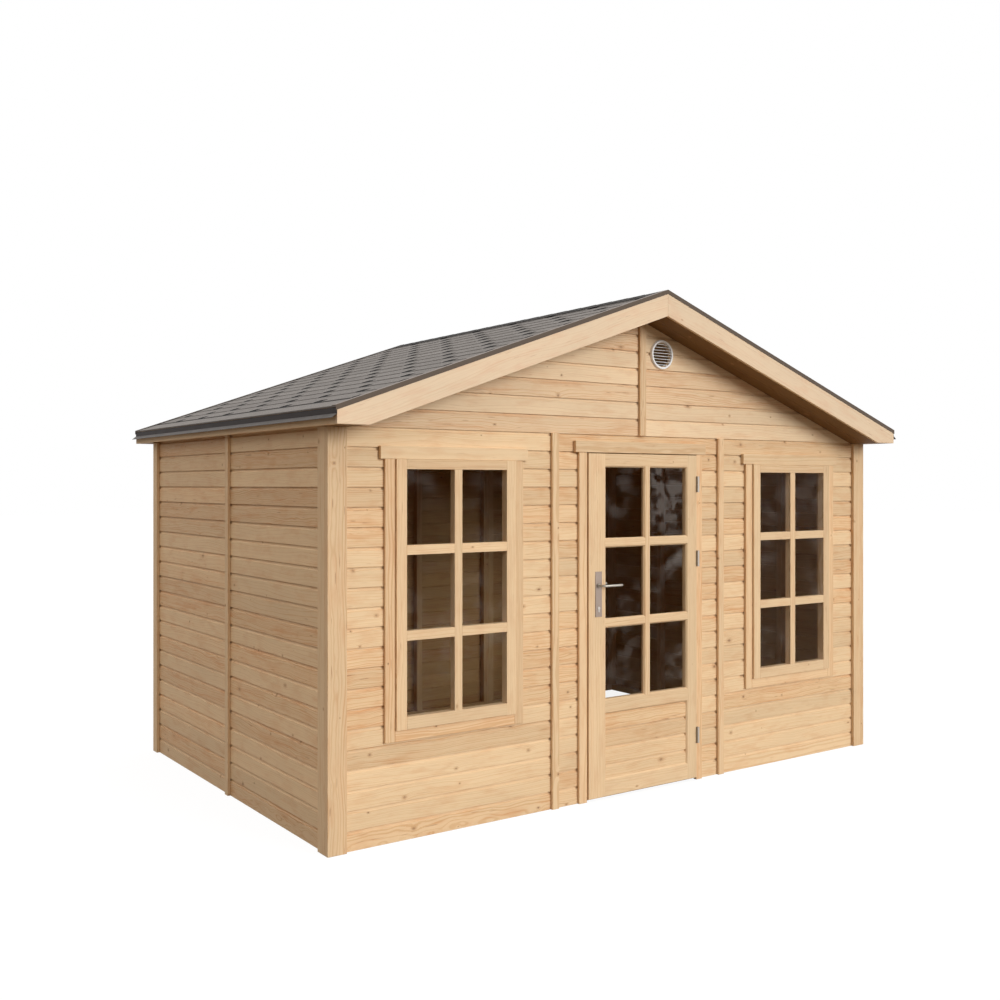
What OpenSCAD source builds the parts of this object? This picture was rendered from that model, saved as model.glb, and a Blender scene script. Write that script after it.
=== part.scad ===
// Timber garden shed with a shallow gable roof, built from framed wall panels.
// The front is three panels wide: window, glazed door, window. Units are millimetres.
// Origin: centre of the footprint on the ground. +X runs along the front, +Y to the back, +Z up.

/* [Walls] */
// Width over the corner trims
wall_w = 3900; // [3600:10:4700]
// Depth over the corner trims
wall_d = 2520; // [1900:10:4000]
// Height of one course of cladding
course_h = 94.7; // [80:0.1:115]
// Number of courses below the gable
courses = 21; // [20:1:24]
// Thickness of the cladding boards
cladding_t = 16; // [12:1:22]
// Side of the square framing timber
stud = 45; // [38:1:60]
// Width of one front panel
panel_w = 1240; // [1100:5:1300]
// How far the corner trims stand out from the cladding
trim_proud = 19; // [16:1:25]
// Width of the front and rear corner trims
corner_w = 100; // [85:1:130]
// Width of the side corner trims
side_trim_w = 72; // [50:1:110]
// Width of the cover battens
batten_w = 45; // [30:1:70]
// Thickness of the cover battens and casing boards
batten_t = 16; // [10:1:18]

/* [Roof] */
// Slope of the roof in degrees
pitch = 19.5; // [15:0.5:25]
// Rise of the side walls past the front wall's courses
plate_rise = 23.4; // [15:0.1:60]
// Reach of the roof past the side walls
eave_reach = 50; // [45:1:90]
// Reach of the roof past the front and rear walls
verge_reach = 198; // [120:1:320]
// Thickness of the roof boards
deck_t = 16; // [12:1:22]
// Thickness of the lapped shingles
shingle_t = 6.8; // [5:0.1:10]
// Height of the rafters, across the slope
rafter_h = 47; // [38:1:60]
// Thickness of the bargeboards and eave fascias
fascia_t = 18; // [15:1:28]
// Visible depth of the bargeboards, measured upright
barge_drop = 134; // [115:1:160]
// Height of the lower edge of the eave fascias above the gable line
fascia_rise = -4; // [-10:1:10]
// Thickness of the soffit lining
soffit_t = 12; // [9:1:16]
// Reach of the lip of the drip edges past the fascias
lip_reach = 26; // [15:1:40]
// Width of the ridge capping on each slope
cap_w = 118; // [90:2:180]

/* [Windows] */
// Width of a sash
sash_w = 702; // [600:2:800]
// Height of a sash
sash_h = 1299; // [1000:1:1400]
// Height of the lower edge of a sash above the ground
sash_z = 539; // [300:1:560]
// Thickness of a sash
sash_t = 45; // [38:1:50]
// Width of the stiles and the top rail of a sash
sash_stile = 57; // [45:1:70]
// Height of the top rail of a sash
sash_top = 48; // [40:1:70]
// Height of the bottom rail of a sash
sash_foot = 60; // [45:1:80]
// Width of the window casing boards
window_casing_w = 55; // [40:1:80]
// Thickness of the glass
glass_t = 4; // [3:0.5:6]

/* [Door] */
// Width of the door leaf
leaf_w = 810; // [720:2:840]
// Height of the door leaf
leaf_h = 1868; // [1750:1:1880]
// Height of the leaf's lower edge above the ground
leaf_z = 17; // [10:1:30]
// Thickness of the door leaf
leaf_t = 35; // [30:1:40]
// Offset of the leaf's centre line from the middle of the front
leaf_shift = 4; // [-20:1:20]
// Width of the casing board beside the lock
lock_casing_w = 53; // [40:1:80]
// Width of the casing board beside the hinges
hinge_casing_w = 46; // [40:1:80]
// Width of the leaf's lock stile
lock_stile = 123; // [100:1:140]
// Width of the leaf's hinge stile
hinge_stile = 82; // [65:1:120]
// Height of the leaf's top rail
top_rail = 74; // [60:1:110]
// Height of the glazed part of the leaf
light_h = 1265; // [1000:1:1300]
// Height of the leaf's middle rail
lock_rail = 81; // [70:1:140]
// Height of the leaf's bottom rail
foot_rail = 95; // [80:1:160]
// Height of the lever's axis above the ground
lever_z = 1169; // [1000:1:1200]

/* [Vent] */
// Distance of the vent's centre from the middle of the gable
vent_x = 151; // [110:1:260]
// Drop from the ridge to the vent's centre
vent_drop = 325; // [260:1:420]
// Outer diameter of the vent's flange
vent_d = 168; // [120:2:180]

/* [Hidden] */
// Clearance between neighbouring fixed pieces
fit = 0.3;
// Clearance around the moving leaf, and beside its lock stile
run = 5;
lock_run = 6.5;
// Overlap of the leaf and the sashes on the framing behind them
stop = 15;
// Thickness of the head boards and their reach past the casings
head_t = 20;
head_h = 62;
head_over = 27;
// Distance from the outer edge of a front panel to the wall's corner
panel_inset = 90;
// Folded metal of the roof edges
metal_t = 1.5;
verge_flange = 45;
verge_leg = 24;
verge_rise = 3;
drip_leg = 27;
lip_fall = 19;
shingle_over = 6;
// Roof carcass
purlin_h = 95;
ridge_beam_h = 120;
cap_t = 3;
// Door furniture
plate_w = 46;
plate_h = 246;
plate_t = 3;
plate_over = 75;
lever_d = 14;
lever_l = 131;
lever_out = 52;
lever_neck_d = 21;
cylinder_d = 17;
cylinder_out = 3;
cylinder_drop = 123;
lever_shift = 5;
spindle_d = 8;
spindle_hole_d = 16;
knuckle_d = 13;
knuckle_h = 92;
knuckle_gap = 0.6;
hinge_plate_t = 1.5;
hinge_plate_w = 24;
hinge_rises = [247, 1271, 1701];
// Depths of the glass and the boarding behind the faces of their frames
window_glass_in = 4;
door_glass_in = 22;
boarding_in = 8;
// Vent
vent_t = 13;
vent_rim = 14;
vent_bore_d = vent_d - 34;
louvres = 8;
louvre_t = 4;
louvre_in = 1.5;
$fn = 48;

// Planes of the walls
wall_h = course_h * courses;
half_w = wall_w / 2;
half_d = wall_d / 2;
corner_t = trim_proud + cladding_t;
// Depths below the wall's outermost plane
clad_in = corner_t;
stud_in = corner_t + stud;
panel_edge = panel_w / 2;

// Slope of the roof, and depths of its layers below the ridge, measured upright
slope = tan(pitch);
up = 1 / cos(pitch);
shingle_d = verge_rise + fit;
deck_d = shingle_d + shingle_t * up;
rafter_d = deck_d + deck_t * up;
soffit_d = rafter_d + rafter_h * up;
ridge_z = wall_h + plate_rise + soffit_d + slope * half_w;
eave_x = half_w + eave_reach;
verge_y = half_d + verge_reach;
barge_front = verge_y - metal_t - fit;
barge_back = barge_front - fascia_t;
fascia_z = wall_h + fascia_rise;
// Foot of the bargeboards below the ridge, and where it turns level at the eaves
barge_foot = deck_d + barge_drop;
toe_x = (ridge_z - barge_foot - fascia_z) / slope;

// Door and windows
leaf_x0 = leaf_shift - leaf_w / 2;
leaf_x1 = leaf_shift + leaf_w / 2;
leaf_top = leaf_z + leaf_h;
casing_y = -half_d + trim_proud - batten_t;
leaf_y1 = -half_d + clad_in - run;
leaf_y0 = leaf_y1 - leaf_t;
window_x = (panel_edge + half_w - panel_inset) / 2;
vent_z = ridge_z - vent_drop;
door_head_z = leaf_top + run;
light_top = leaf_top - top_rail;
light_z = light_top - light_h;
board_top = light_z - lock_rail;
board_z = leaf_z + foot_rail;
light_x0 = leaf_x0 + lock_stile;
light_x1 = leaf_x1 - hinge_stile;
sill_h = leaf_z + stop;
window_casing_z = sash_z - fit - window_casing_w;
window_head_z = sash_z + sash_h + fit;
hinge_x = leaf_x1 + run / 2;
hinge_y = leaf_y0 - knuckle_d / 2;
hinge_zs = [for (rise = hinge_rises) leaf_z + rise];
lever_x = leaf_x0 + lock_stile / 2 + lever_shift;

// Height of a roof plane that lies d below the ridge, at x
function roof_z(d, x) = ridge_z - d - slope * abs(x);

// Box between two opposite corners
module box(a, b) {
  translate(a)
    cube(b - a);
}

// Upright outline in X and Z, run from y0 to y1
module run_y(y0, y1) {
  translate([0, y1, 0])
    rotate([90, 0, 0])
      linear_extrude(y1 - y0)
        children();
}

// Copies of a piece on the right (as drawn) and mirrored to the left
module both_sides() {
  for (side = [0, 1])
    mirror([side, 0, 0])
      children();
}

// Copies of a piece at the front (as drawn) and mirrored to the back
module both_ends() {
  for (end = [0, 1])
    mirror([0, end, 0])
      children();
}

// Sloping slab on the right-hand slope, between two depths below the ridge
module slope_slab(d_top, d_foot, x0, x1, y0, y1) {
  run_y(y0, y1)
    polygon([[x0, roof_z(d_top, x0)], [x1, roof_z(d_top, x1)],
      [x1, roof_z(d_foot, x1)], [x0, roof_z(d_foot, x0)]]);
}

// Panel of studs between two plates, along X, seen from the front
module wall_bay(x0, x1, y0, y1) {
  middle = (x0 + x1) / 2;
  box([x0, y0, 0], [x1, y1, stud]);
  box([x0, y0, wall_h - stud], [x1, y1, wall_h - fit]);
  for (x = [x0, middle - stud / 2, x1 - stud])
    box([x, y0, stud + fit], [x + stud, y1, wall_h - stud - fit]);
}

// Panel of studs between two plates, along Y, on the right-hand wall
module side_bay(y0, y1) {
  x0 = half_w - stud_in;
  x1 = half_w - clad_in - fit;
  middle = (y0 + y1) / 2;
  box([x0, y0, 0], [x1, y1, stud]);
  box([x0, y0, wall_h - stud], [x1, y1, wall_h - fit]);
  for (y = [y0, middle - stud / 2, y1 - stud])
    box([x0, y, stud + fit], [x1, y + stud, wall_h - stud - fit]);
}

// Cladding of one window panel, on the right
module window_panel() {
  y0 = -half_d + trim_proud;
  y1 = -half_d + clad_in;
  difference() {
    box([panel_edge + fit, y0, 0], [half_w - corner_w - fit, y1, wall_h - fit]);
    box([window_x - sash_w / 2 - fit, y0 - 1, sash_z - fit],
      [window_x + sash_w / 2 + fit, y1 + 1, sash_z + sash_h + fit]);
  }
}

module front_panel_left() {
  color("burlywood")
    mirror([1, 0, 0])
      window_panel();
}

module front_panel_right() {
  color("burlywood")
    window_panel();
}

module door_panel_left() {
  color("burlywood")
    box([-panel_edge + fit, -half_d + trim_proud, 0],
      [leaf_x0 - lock_run, -half_d + clad_in, door_head_z]);
}

module door_panel_right() {
  color("burlywood")
    box([leaf_x1 + run, -half_d + trim_proud, 0],
      [panel_edge - fit, -half_d + clad_in, door_head_z]);
}

module door_panel_top() {
  color("burlywood")
    box([-panel_edge + fit, -half_d + trim_proud, door_head_z + fit],
      [panel_edge - fit, -half_d + clad_in, wall_h - fit]);
}

// Cladding of the right-hand wall: two panels that rise to the rafters
module side_panels() {
  x0 = half_w - clad_in;
  x1 = half_w - trim_proud;
  top = roof_z(soffit_d, x1) - fit;
  reach = half_d - clad_in - fit;
  box([x0, -reach, 0], [x1, -fit, top]);
  box([x0, fit, 0], [x1, reach, top]);
}

module left_panels() {
  color("burlywood")
    mirror([1, 0, 0])
      side_panels();
}

module right_panels() {
  color("burlywood")
    side_panels();
}

module rear_panels() {
  y0 = half_d - clad_in;
  y1 = half_d - trim_proud;
  color("burlywood") {
    box([-panel_edge + fit, y0, 0], [panel_edge - fit, y1, wall_h - fit]);
    both_sides()
      box([panel_edge + fit, y0, 0], [half_w - corner_w - fit, y1, wall_h - fit]);
  }
}

// Half of a gable's cladding, on the right
module gable_half(y0, y1) {
  run_y(y0, y1)
    polygon([[fit / 2, wall_h], [half_w, wall_h],
      [half_w, roof_z(rafter_d + fit, half_w)], [fit / 2, roof_z(rafter_d + fit, fit / 2)]]);
}

module front_gable() {
  y0 = -half_d + trim_proud;
  y1 = -half_d + clad_in;
  color("burlywood") {
    mirror([1, 0, 0])
      gable_half(y0, y1);
    difference() {
      gable_half(y0, y1);
      translate([vent_x, y0 - 1, vent_z])
        rotate([-90, 0, 0])
          cylinder(d = vent_bore_d, h = cladding_t + 2);
    }
  }
}

module rear_gable() {
  color("burlywood")
    both_sides()
      gable_half(half_d - clad_in, half_d - trim_proud);
}

// Framing of the right-hand window panel, with a trimmed opening
module window_frame() {
  x0 = panel_edge + fit;
  x1 = half_w - stud_in - fit;
  y0 = -half_d + clad_in + fit;
  y1 = -half_d + stud_in;
  gap = sash_w / 2 - stop;
  sill_top = sash_z + stop;
  lintel = sash_z + sash_h - stop;
  box([x0, y0, 0], [x1, y1, stud]);
  box([x0, y0, wall_h - stud], [x1, y1, wall_h - fit]);
  for (x = [x0, window_x - gap - stud, window_x + gap, x1 - stud])
    box([x, y0, stud + fit], [x + stud, y1, wall_h - stud - fit]);
  for (z = [sill_top - stud, lintel])
    box([window_x - gap + fit, y0, z], [window_x + gap - fit, y1, z + stud]);
}

module front_frames() {
  color("tan")
    both_sides()
      window_frame();
}

// Framing of the right-hand wall, with its sloping wall plate
module side_frame() {
  x0 = half_w - stud_in;
  x1 = half_w - clad_in - fit;
  reach = half_d - clad_in - fit;
  side_bay(-reach, -fit);
  side_bay(fit, reach);
  run_y(-reach, reach)
    polygon([[x0, wall_h], [x1, wall_h],
      [x1, roof_z(soffit_d + fit, x1)], [x0, roof_z(soffit_d + fit, x0)]]);
}

module left_frame() {
  color("tan")
    mirror([1, 0, 0])
      side_frame();
}

module right_frame() {
  color("tan")
    side_frame();
}

module rear_frame() {
  y0 = half_d - stud_in;
  y1 = half_d - clad_in - fit;
  color("tan") {
    wall_bay(-panel_edge + fit, panel_edge - fit, y0, y1);
    both_sides()
      wall_bay(panel_edge + fit, half_w - stud_in - fit, y0, y1);
  }
}

module door_frame() {
  x1 = panel_edge - fit;
  y0 = -half_d + clad_in + fit;
  y1 = -half_d + stud_in;
  post_x = [-x1, leaf_x0 + stop - stud, leaf_x1 - stop, x1 - stud];
  head_z = leaf_top - stop;
  color("tan") {
    box([-x1, y0, 0], [x1, y1, sill_h]);
    box([-x1, y0, wall_h - stud], [x1, y1, wall_h - fit]);
    for (x = post_x)
      box([x, y0, sill_h + fit], [x + stud, y1, wall_h - stud - fit]);
    box([leaf_x0 + stop + fit, y0, head_z], [leaf_x1 - stop - fit, y1, head_z + stud]);
  }
}

// Posts in both gables that carry the ridge beam and the purlins
module gable_posts() {
  y0 = -half_d + clad_in + fit;
  y1 = -half_d + stud_in;
  purlin_x = half_w / 2;
  purlin_foot = roof_z(soffit_d + fit, purlin_x + stud / 2) - purlin_h;
  color("tan")
    both_ends() {
      box([-stud / 2, y0, wall_h], [stud / 2, y1, roof_z(soffit_d + fit, 0) - ridge_beam_h - fit]);
      both_sides()
        box([purlin_x - stud / 2, y0, wall_h], [purlin_x + stud / 2, y1, purlin_foot - fit]);
    }
}

// Ridge beam and one purlin under the middle of each slope
module purlins() {
  reach = half_d - clad_in - fit;
  purlin_x = half_w / 2;
  x0 = purlin_x - stud / 2;
  x1 = purlin_x + stud / 2;
  foot = roof_z(soffit_d + fit, x1) - purlin_h;
  peak = roof_z(soffit_d + fit, 0);
  shoulder = roof_z(soffit_d + fit, stud / 2);
  color("tan") {
    run_y(-reach, reach)
      polygon([[0, peak], [stud / 2, shoulder], [stud / 2, peak - ridge_beam_h],
        [-stud / 2, peak - ridge_beam_h], [-stud / 2, shoulder]]);
    both_sides()
      run_y(-reach, reach)
        polygon([[x0, foot], [x1, foot],
          [x1, roof_z(soffit_d + fit, x1)], [x0, roof_z(soffit_d + fit, x0)]]);
  }
}

// Rafters: one behind each bargeboard, one in each gable and three between
module rafters() {
  tail = eave_x - fascia_t - fit;
  gable_y = half_d - clad_in - fit;
  inner = gable_y - stud;
  color("tan")
    both_sides() {
      both_ends() {
        slope_slab(rafter_d + fit, soffit_d - soffit_t * up - fit, fit / 2, tail,
          -barge_back + fit, -barge_back + stud);
        slope_slab(rafter_d + fit, soffit_d, fit / 2, tail, -gable_y, -inner);
      }
      for (y = [-inner / 2, 0, inner / 2])
        slope_slab(rafter_d + fit, soffit_d, fit / 2, tail, y - stud / 2, y + stud / 2);
    }
}

module roof_boards() {
  slope_slab(deck_d, rafter_d, fit / 2, eave_x, -barge_back + fit, barge_back - fit);
}

module roof_boards_left() {
  color("tan")
    mirror([1, 0, 0])
      roof_boards();
}

module roof_boards_right() {
  color("tan")
    roof_boards();
}

module shingles() {
  reach = verge_y - metal_t - fit;
  slope_slab(shingle_d, deck_d - fit, fit / 2, eave_x + shingle_over, -reach, reach);
}

module shingles_left() {
  color("dimgray")
    mirror([1, 0, 0])
      shingles();
}

module shingles_right() {
  color("dimgray")
    shingles();
}

// Capping shingles folded over the ridge, between the verge trims
module ridge_cap() {
  reach = verge_y - verge_flange - fit;
  foot = shingle_d - fit;
  top = foot - cap_t;
  color("dimgray")
    run_y(-reach, reach)
      polygon([[-cap_w, roof_z(top, cap_w)], [0, roof_z(top, 0)], [cap_w, roof_z(top, cap_w)],
        [cap_w, roof_z(foot, cap_w)], [0, roof_z(foot, 0)], [-cap_w, roof_z(foot, cap_w)]]);
}

// Bargeboards, mitred upright at the apex and cut level at the eaves
module bargeboards() {
  color("burlywood")
    both_ends()
      both_sides()
        run_y(-barge_front, -barge_back)
          polygon([[fit / 2, roof_z(deck_d, fit / 2)], [eave_x, roof_z(deck_d, eave_x)],
            [eave_x, fascia_z], [toe_x, fascia_z], [fit / 2, roof_z(barge_foot, fit / 2)]]);
}

// Angle of folded metal over the front bargeboards and the shingle edge
module verge_trim() {
  end_x = eave_x + shingle_over;
  both_sides() {
    slope_slab(0, verge_leg, 0, end_x, -verge_y, -verge_y + metal_t);
    slope_slab(0, verge_rise, 0, end_x, -verge_y, -verge_y + verge_flange);
  }
}

module front_verge_trim() {
  color("dimgray")
    verge_trim();
}

module rear_verge_trim() {
  color("dimgray")
    mirror([0, 1, 0])
      verge_trim();
}

module eave_fascias() {
  x0 = eave_x - fascia_t;
  color("burlywood")
    both_sides()
      run_y(-barge_back + fit, barge_back - fit)
        polygon([[x0, fascia_z], [eave_x, fascia_z],
          [eave_x, roof_z(rafter_d + fit, eave_x)], [x0, roof_z(rafter_d + fit, x0)]]);
}

// Folded metal drip edges: an upright leg with a lip that leans out
module drip_edges() {
  x0 = eave_x + fit;
  x1 = x0 + metal_t;
  tip = eave_x + lip_reach;
  top = roof_z(deck_d, eave_x + shingle_over) - fit;
  foot = top - drip_leg;
  reach = barge_front - fit;
  color("darkslategray")
    both_sides()
      run_y(-reach, reach)
        polygon([[x0, top], [x1, top], [x1, foot], [tip, foot - lip_fall],
          [tip, foot - lip_fall - metal_t], [x0, foot - metal_t]]);
}

// Lining under the roof's reach past both gables: two boards side by side, flush with the foot of
// the bargeboards and level at the eaves
module soffit_boards() {
  y0 = -barge_back + fit;
  y1 = -half_d + trim_proud - fit;
  middle = (y0 + y1) / 2;
  tail = eave_x - fascia_t - fit;
  top = barge_foot - soffit_t * up;
  bend_x = (ridge_z - top - fascia_z - soffit_t) / slope;
  color("peru")
    both_ends()
      both_sides()
        for (span = [[y0, middle - fit / 2], [middle + fit / 2, y1]])
          run_y(span[0], span[1])
            polygon([[fit / 2, roof_z(top, fit / 2)], [bend_x, fascia_z + soffit_t],
              [tail, fascia_z + soffit_t], [tail, fascia_z], [toe_x, fascia_z],
              [fit / 2, roof_z(barge_foot, fit / 2)]]);
}

// Trims at the four corners: a thick one on each end wall, a thin one beside it
module corner_trims() {
  side_top = roof_z(soffit_d, half_w) - fit;
  rear_x = half_w - trim_proud - fit;
  front_y = -half_d + corner_t;
  color("burlywood")
    both_sides() {
      box([half_w - corner_w, -half_d, 0], [half_w, front_y, fascia_z - fit]);
      box([half_w - trim_proud + fit, front_y + fit, 0],
        [half_w, front_y + side_trim_w, side_top]);
      box([half_w - trim_proud + fit, half_d - side_trim_w, 0],
        [half_w, half_d, fascia_z - fit]);
      box([half_w - corner_w, half_d - corner_t, 0], [rear_x, half_d, fascia_z - fit]);
    }
}

// Battens over the joints between panels, on all four walls and both gables
module cover_battens() {
  half = batten_w / 2;
  outer = -half_d + trim_proud - batten_t;
  face = -half_d + trim_proud - fit;
  side_x = half_w - trim_proud + fit;
  side_top = roof_z(soffit_d, half_w) - fit;
  gable_top = roof_z(barge_foot + fit, half);
  color("burlywood") {
    both_ends() {
      both_sides()
        box([panel_edge - half, outer, 0], [panel_edge + half, face, wall_h]);
      box([-half, outer, wall_h + fit], [half, face, gable_top]);
    }
    both_sides()
      box([side_x, -half, 0], [side_x + batten_t, half, side_top]);
  }
}

// Casing boards on the two sides and the foot of the right-hand window
module window_casing() {
  y0 = casing_y;
  y1 = -half_d + trim_proud - fit;
  inner = sash_w / 2 + fit;
  for (x = [window_x - inner - window_casing_w, window_x + inner])
    box([x, y0, window_casing_z], [x + window_casing_w, y1, window_head_z]);
  box([window_x - inner + fit, y0, window_casing_z], [window_x + inner - fit, y1, sash_z - fit]);
}

module window_casings() {
  color("burlywood")
    both_sides()
      window_casing();
}

// Head boards over both windows and the door
module head_boards() {
  y1 = -half_d + trim_proud - fit;
  y0 = y1 - head_t;
  window_half = sash_w / 2 + fit + window_casing_w + head_over;
  door_x0 = leaf_x0 - lock_run - lock_casing_w - head_over;
  door_x1 = leaf_x1 + run + hinge_casing_w + head_over;
  color("burlywood") {
    both_sides()
      box([window_x - window_half, y0, window_head_z + fit],
        [window_x + window_half, y1, window_head_z + fit + head_h]);
    box([door_x0, y0, door_head_z + fit], [door_x1, y1, door_head_z + fit + head_h]);
  }
}

// Fixed sash of the right-hand window, made of two stiles and two rails
module window_sash() {
  y1 = -half_d + clad_in;
  y0 = y1 - sash_t;
  x0 = window_x - sash_w / 2;
  x1 = window_x + sash_w / 2;
  top = sash_z + sash_h;
  for (x = [x0, x1 - sash_stile])
    box([x, y0, sash_z], [x + sash_stile, y1, top]);
  box([x0 + sash_stile + fit, y0, sash_z], [x1 - sash_stile - fit, y1, sash_z + sash_foot]);
  box([x0 + sash_stile + fit, y0, top - sash_top], [x1 - sash_stile - fit, y1, top]);
}

module window_sashes() {
  color("burlywood")
    both_sides()
      window_sash();
}

module window_glass() {
  y0 = -half_d + clad_in - sash_t + window_glass_in;
  x0 = window_x - sash_w / 2 + sash_stile + fit;
  x1 = window_x + sash_w / 2 - sash_stile - fit;
  color("lightcyan", 0.4)
    both_sides()
      box([x0, y0, sash_z + sash_foot + fit],
        [x1, y0 + glass_t, sash_z + sash_h - sash_top - fit]);
}

module door_casing() {
  x0 = leaf_x0 - lock_run;
  x1 = leaf_x1 + run;
  y1 = -half_d + trim_proud - fit;
  color("burlywood") {
    box([x0 - lock_casing_w, casing_y, 0], [x0, y1, door_head_z]);
    box([x1, casing_y, 0], [x1 + hinge_casing_w, y1, door_head_z]);
  }
}

// Round louvred vent: a flange with a rim and level louvres across its mouth
module gable_vent() {
  r = vent_d / 2 - vent_rim;
  pitch_z = 2 * r / (louvres + 0.5);
  color("white")
    translate([vent_x, -half_d + trim_proud - fit, vent_z])
      rotate([90, 0, 0]) {
        difference() {
          cylinder(d = vent_d, h = vent_t, $fn = 96);
          translate([0, 0, -1])
            cylinder(r = r, h = vent_t + 2, $fn = 96);
        }
        for (i = [0 : louvres - 1]) {
          z = (i - (louvres - 1) / 2) * pitch_z;
          half = sqrt(pow(r + 1, 2) - z * z);
          translate([-half, z - louvre_t / 2, louvre_in])
            cube([2 * half, louvre_t, vent_t - 2 * louvre_in]);
        }
      }
}

// Lower, fixed half of each hinge barrel, with its plate against the casing
module hinge_knuckles() {
  half = knuckle_h / 2;
  x1 = leaf_x1 + run - fit;
  color("silver")
    for (z = hinge_zs) {
      translate([hinge_x, hinge_y, z - half])
        cylinder(d = knuckle_d, h = half - knuckle_gap / 2);
      box([x1 - hinge_plate_t, hinge_y, z - half],
        [x1, hinge_y + hinge_plate_w, z - knuckle_gap / 2]);
    }
}

// Frame of the door leaf: two stiles and three rails
module door_leaf() {
  rail_x0 = light_x0 + fit;
  rail_x1 = light_x1 - fit;
  color("burlywood") {
    difference() {
      box([leaf_x0, leaf_y0, leaf_z], [light_x0, leaf_y1, leaf_top]);
      spindle_hole(leaf_y0 - 1, leaf_y1 + 1);
    }
    box([light_x1, leaf_y0, leaf_z], [leaf_x1, leaf_y1, leaf_top]);
    box([rail_x0, leaf_y0, light_top], [rail_x1, leaf_y1, leaf_top]);
    box([rail_x0, leaf_y0, board_top], [rail_x1, leaf_y1, light_z]);
    box([rail_x0, leaf_y0, leaf_z], [rail_x1, leaf_y1, board_z]);
  }
}

// Boarded panel in the lower part of the leaf
module door_boarding() {
  y0 = leaf_y0 + boarding_in;
  color("burlywood")
    box([light_x0 + fit, y0, board_z + fit], [light_x1 - fit, y0 + cladding_t, board_top - fit]);
}

module door_glass() {
  y0 = leaf_y0 + door_glass_in;
  color("lightcyan", 0.4)
    box([light_x0 + fit, y0, light_z + fit], [light_x1 - fit, y0 + glass_t, light_top - fit]);
}

// Upper, moving half of each hinge barrel, with its plate against the leaf
module hinge_leaves() {
  half = knuckle_h / 2;
  x0 = leaf_x1 + fit;
  color("silver")
    for (z = hinge_zs) {
      translate([hinge_x, hinge_y, z + knuckle_gap / 2])
        cylinder(d = knuckle_d, h = half - knuckle_gap / 2);
      box([x0, hinge_y, z + knuckle_gap / 2],
        [x0 + hinge_plate_t, hinge_y + hinge_plate_w, z + half]);
    }
}

// Hole through which the lever's spindle passes, from y0 to y1
module spindle_hole(y0, y1) {
  translate([lever_x, y0, lever_z])
    rotate([-90, 0, 0])
      cylinder(d = spindle_hole_d, h = y1 - y0);
}

// Long plates on both faces of the lock stile, each with its cylinder
module lock_plates() {
  x0 = lever_x - plate_w / 2;
  z0 = lever_z + plate_over - plate_h;
  key_z = lever_z - cylinder_drop;
  outside = leaf_y0 - fit - plate_t;
  inside = leaf_y1 + fit;
  color("silver") {
    difference() {
      union()
        for (y = [outside, inside])
          box([x0, y, z0], [x0 + plate_w, y + plate_t, z0 + plate_h]);
      spindle_hole(outside - 1, inside + plate_t + 1);
    }
    for (y = [outside - cylinder_out, inside])
      translate([lever_x, y, key_z])
        rotate([-90, 0, 0])
          cylinder(d = cylinder_d, h = plate_t + cylinder_out);
  }
}

// Lever grip at a given y, running from the spindle's axis towards the hinges
module grip(y) {
  box([lever_x, y, lever_z - lever_d / 2], [lever_x + lever_l, y + lever_d, lever_z + lever_d / 2]);
}

// Levers on both faces of the leaf, joined by their spindle
module door_lever() {
  outside = leaf_y0 - 2 * fit - plate_t;
  inside = leaf_y1 + 2 * fit + plate_t;
  color("silver") {
    for (y = [outside - lever_out, inside])
      translate([lever_x, y, lever_z])
        rotate([-90, 0, 0])
          cylinder(d = lever_neck_d, h = lever_out);
    grip(outside - lever_out);
    grip(inside + lever_out - lever_d);
    translate([lever_x, outside - 1, lever_z])
      rotate([-90, 0, 0])
        cylinder(d = spindle_d, h = inside - outside + 2);
  }
}

front_panel_left();
front_panel_right();
door_panel_left();
door_panel_right();
door_panel_top();
left_panels();
right_panels();
rear_panels();
front_gable();
rear_gable();
front_frames();
left_frame();
right_frame();
rear_frame();
door_frame();
gable_posts();
purlins();
rafters();
roof_boards_left();
roof_boards_right();
shingles_left();
shingles_right();
ridge_cap();
bargeboards();
front_verge_trim();
rear_verge_trim();
eave_fascias();
drip_edges();
soffit_boards();
corner_trims();
cover_battens();
window_casings();
head_boards();
window_sashes();
window_glass();
door_casing();
gable_vent();
hinge_knuckles();
door_leaf();
door_boarding();
door_glass();
hinge_leaves();
lock_plates();
door_lever();
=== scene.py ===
"""Looks of the timber garden shed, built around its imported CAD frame. Lengths are metres."""
import math
import random

import bmesh
import bpy
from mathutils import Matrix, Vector


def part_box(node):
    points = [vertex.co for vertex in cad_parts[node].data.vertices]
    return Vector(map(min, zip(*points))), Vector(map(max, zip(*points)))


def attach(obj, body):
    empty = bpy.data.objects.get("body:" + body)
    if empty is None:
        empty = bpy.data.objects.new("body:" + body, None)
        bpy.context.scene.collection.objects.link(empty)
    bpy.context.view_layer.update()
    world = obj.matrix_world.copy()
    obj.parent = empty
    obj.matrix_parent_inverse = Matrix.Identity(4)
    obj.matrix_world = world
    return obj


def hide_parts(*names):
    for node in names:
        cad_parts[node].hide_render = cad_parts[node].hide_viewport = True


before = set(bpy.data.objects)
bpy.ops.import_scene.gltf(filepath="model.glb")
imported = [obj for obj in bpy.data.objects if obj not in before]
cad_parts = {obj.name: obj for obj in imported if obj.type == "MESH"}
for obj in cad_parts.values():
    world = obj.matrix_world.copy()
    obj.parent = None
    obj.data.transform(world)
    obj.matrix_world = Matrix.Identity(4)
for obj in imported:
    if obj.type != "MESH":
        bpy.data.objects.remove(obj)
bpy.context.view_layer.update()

X, Y, Z = Vector((1, 0, 0)), Vector((0, 1, 0)), Vector((0, 0, 1))
FIT = 0.0003  # clearance between pieces, as in the CAD
WELD = 1e-5  # corners closer than this are one corner
LEVEL = 1e-4  # places closer than this, along one axis, are level with each other
SLIVER = 0.001  # boards narrower than this are left out
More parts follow.
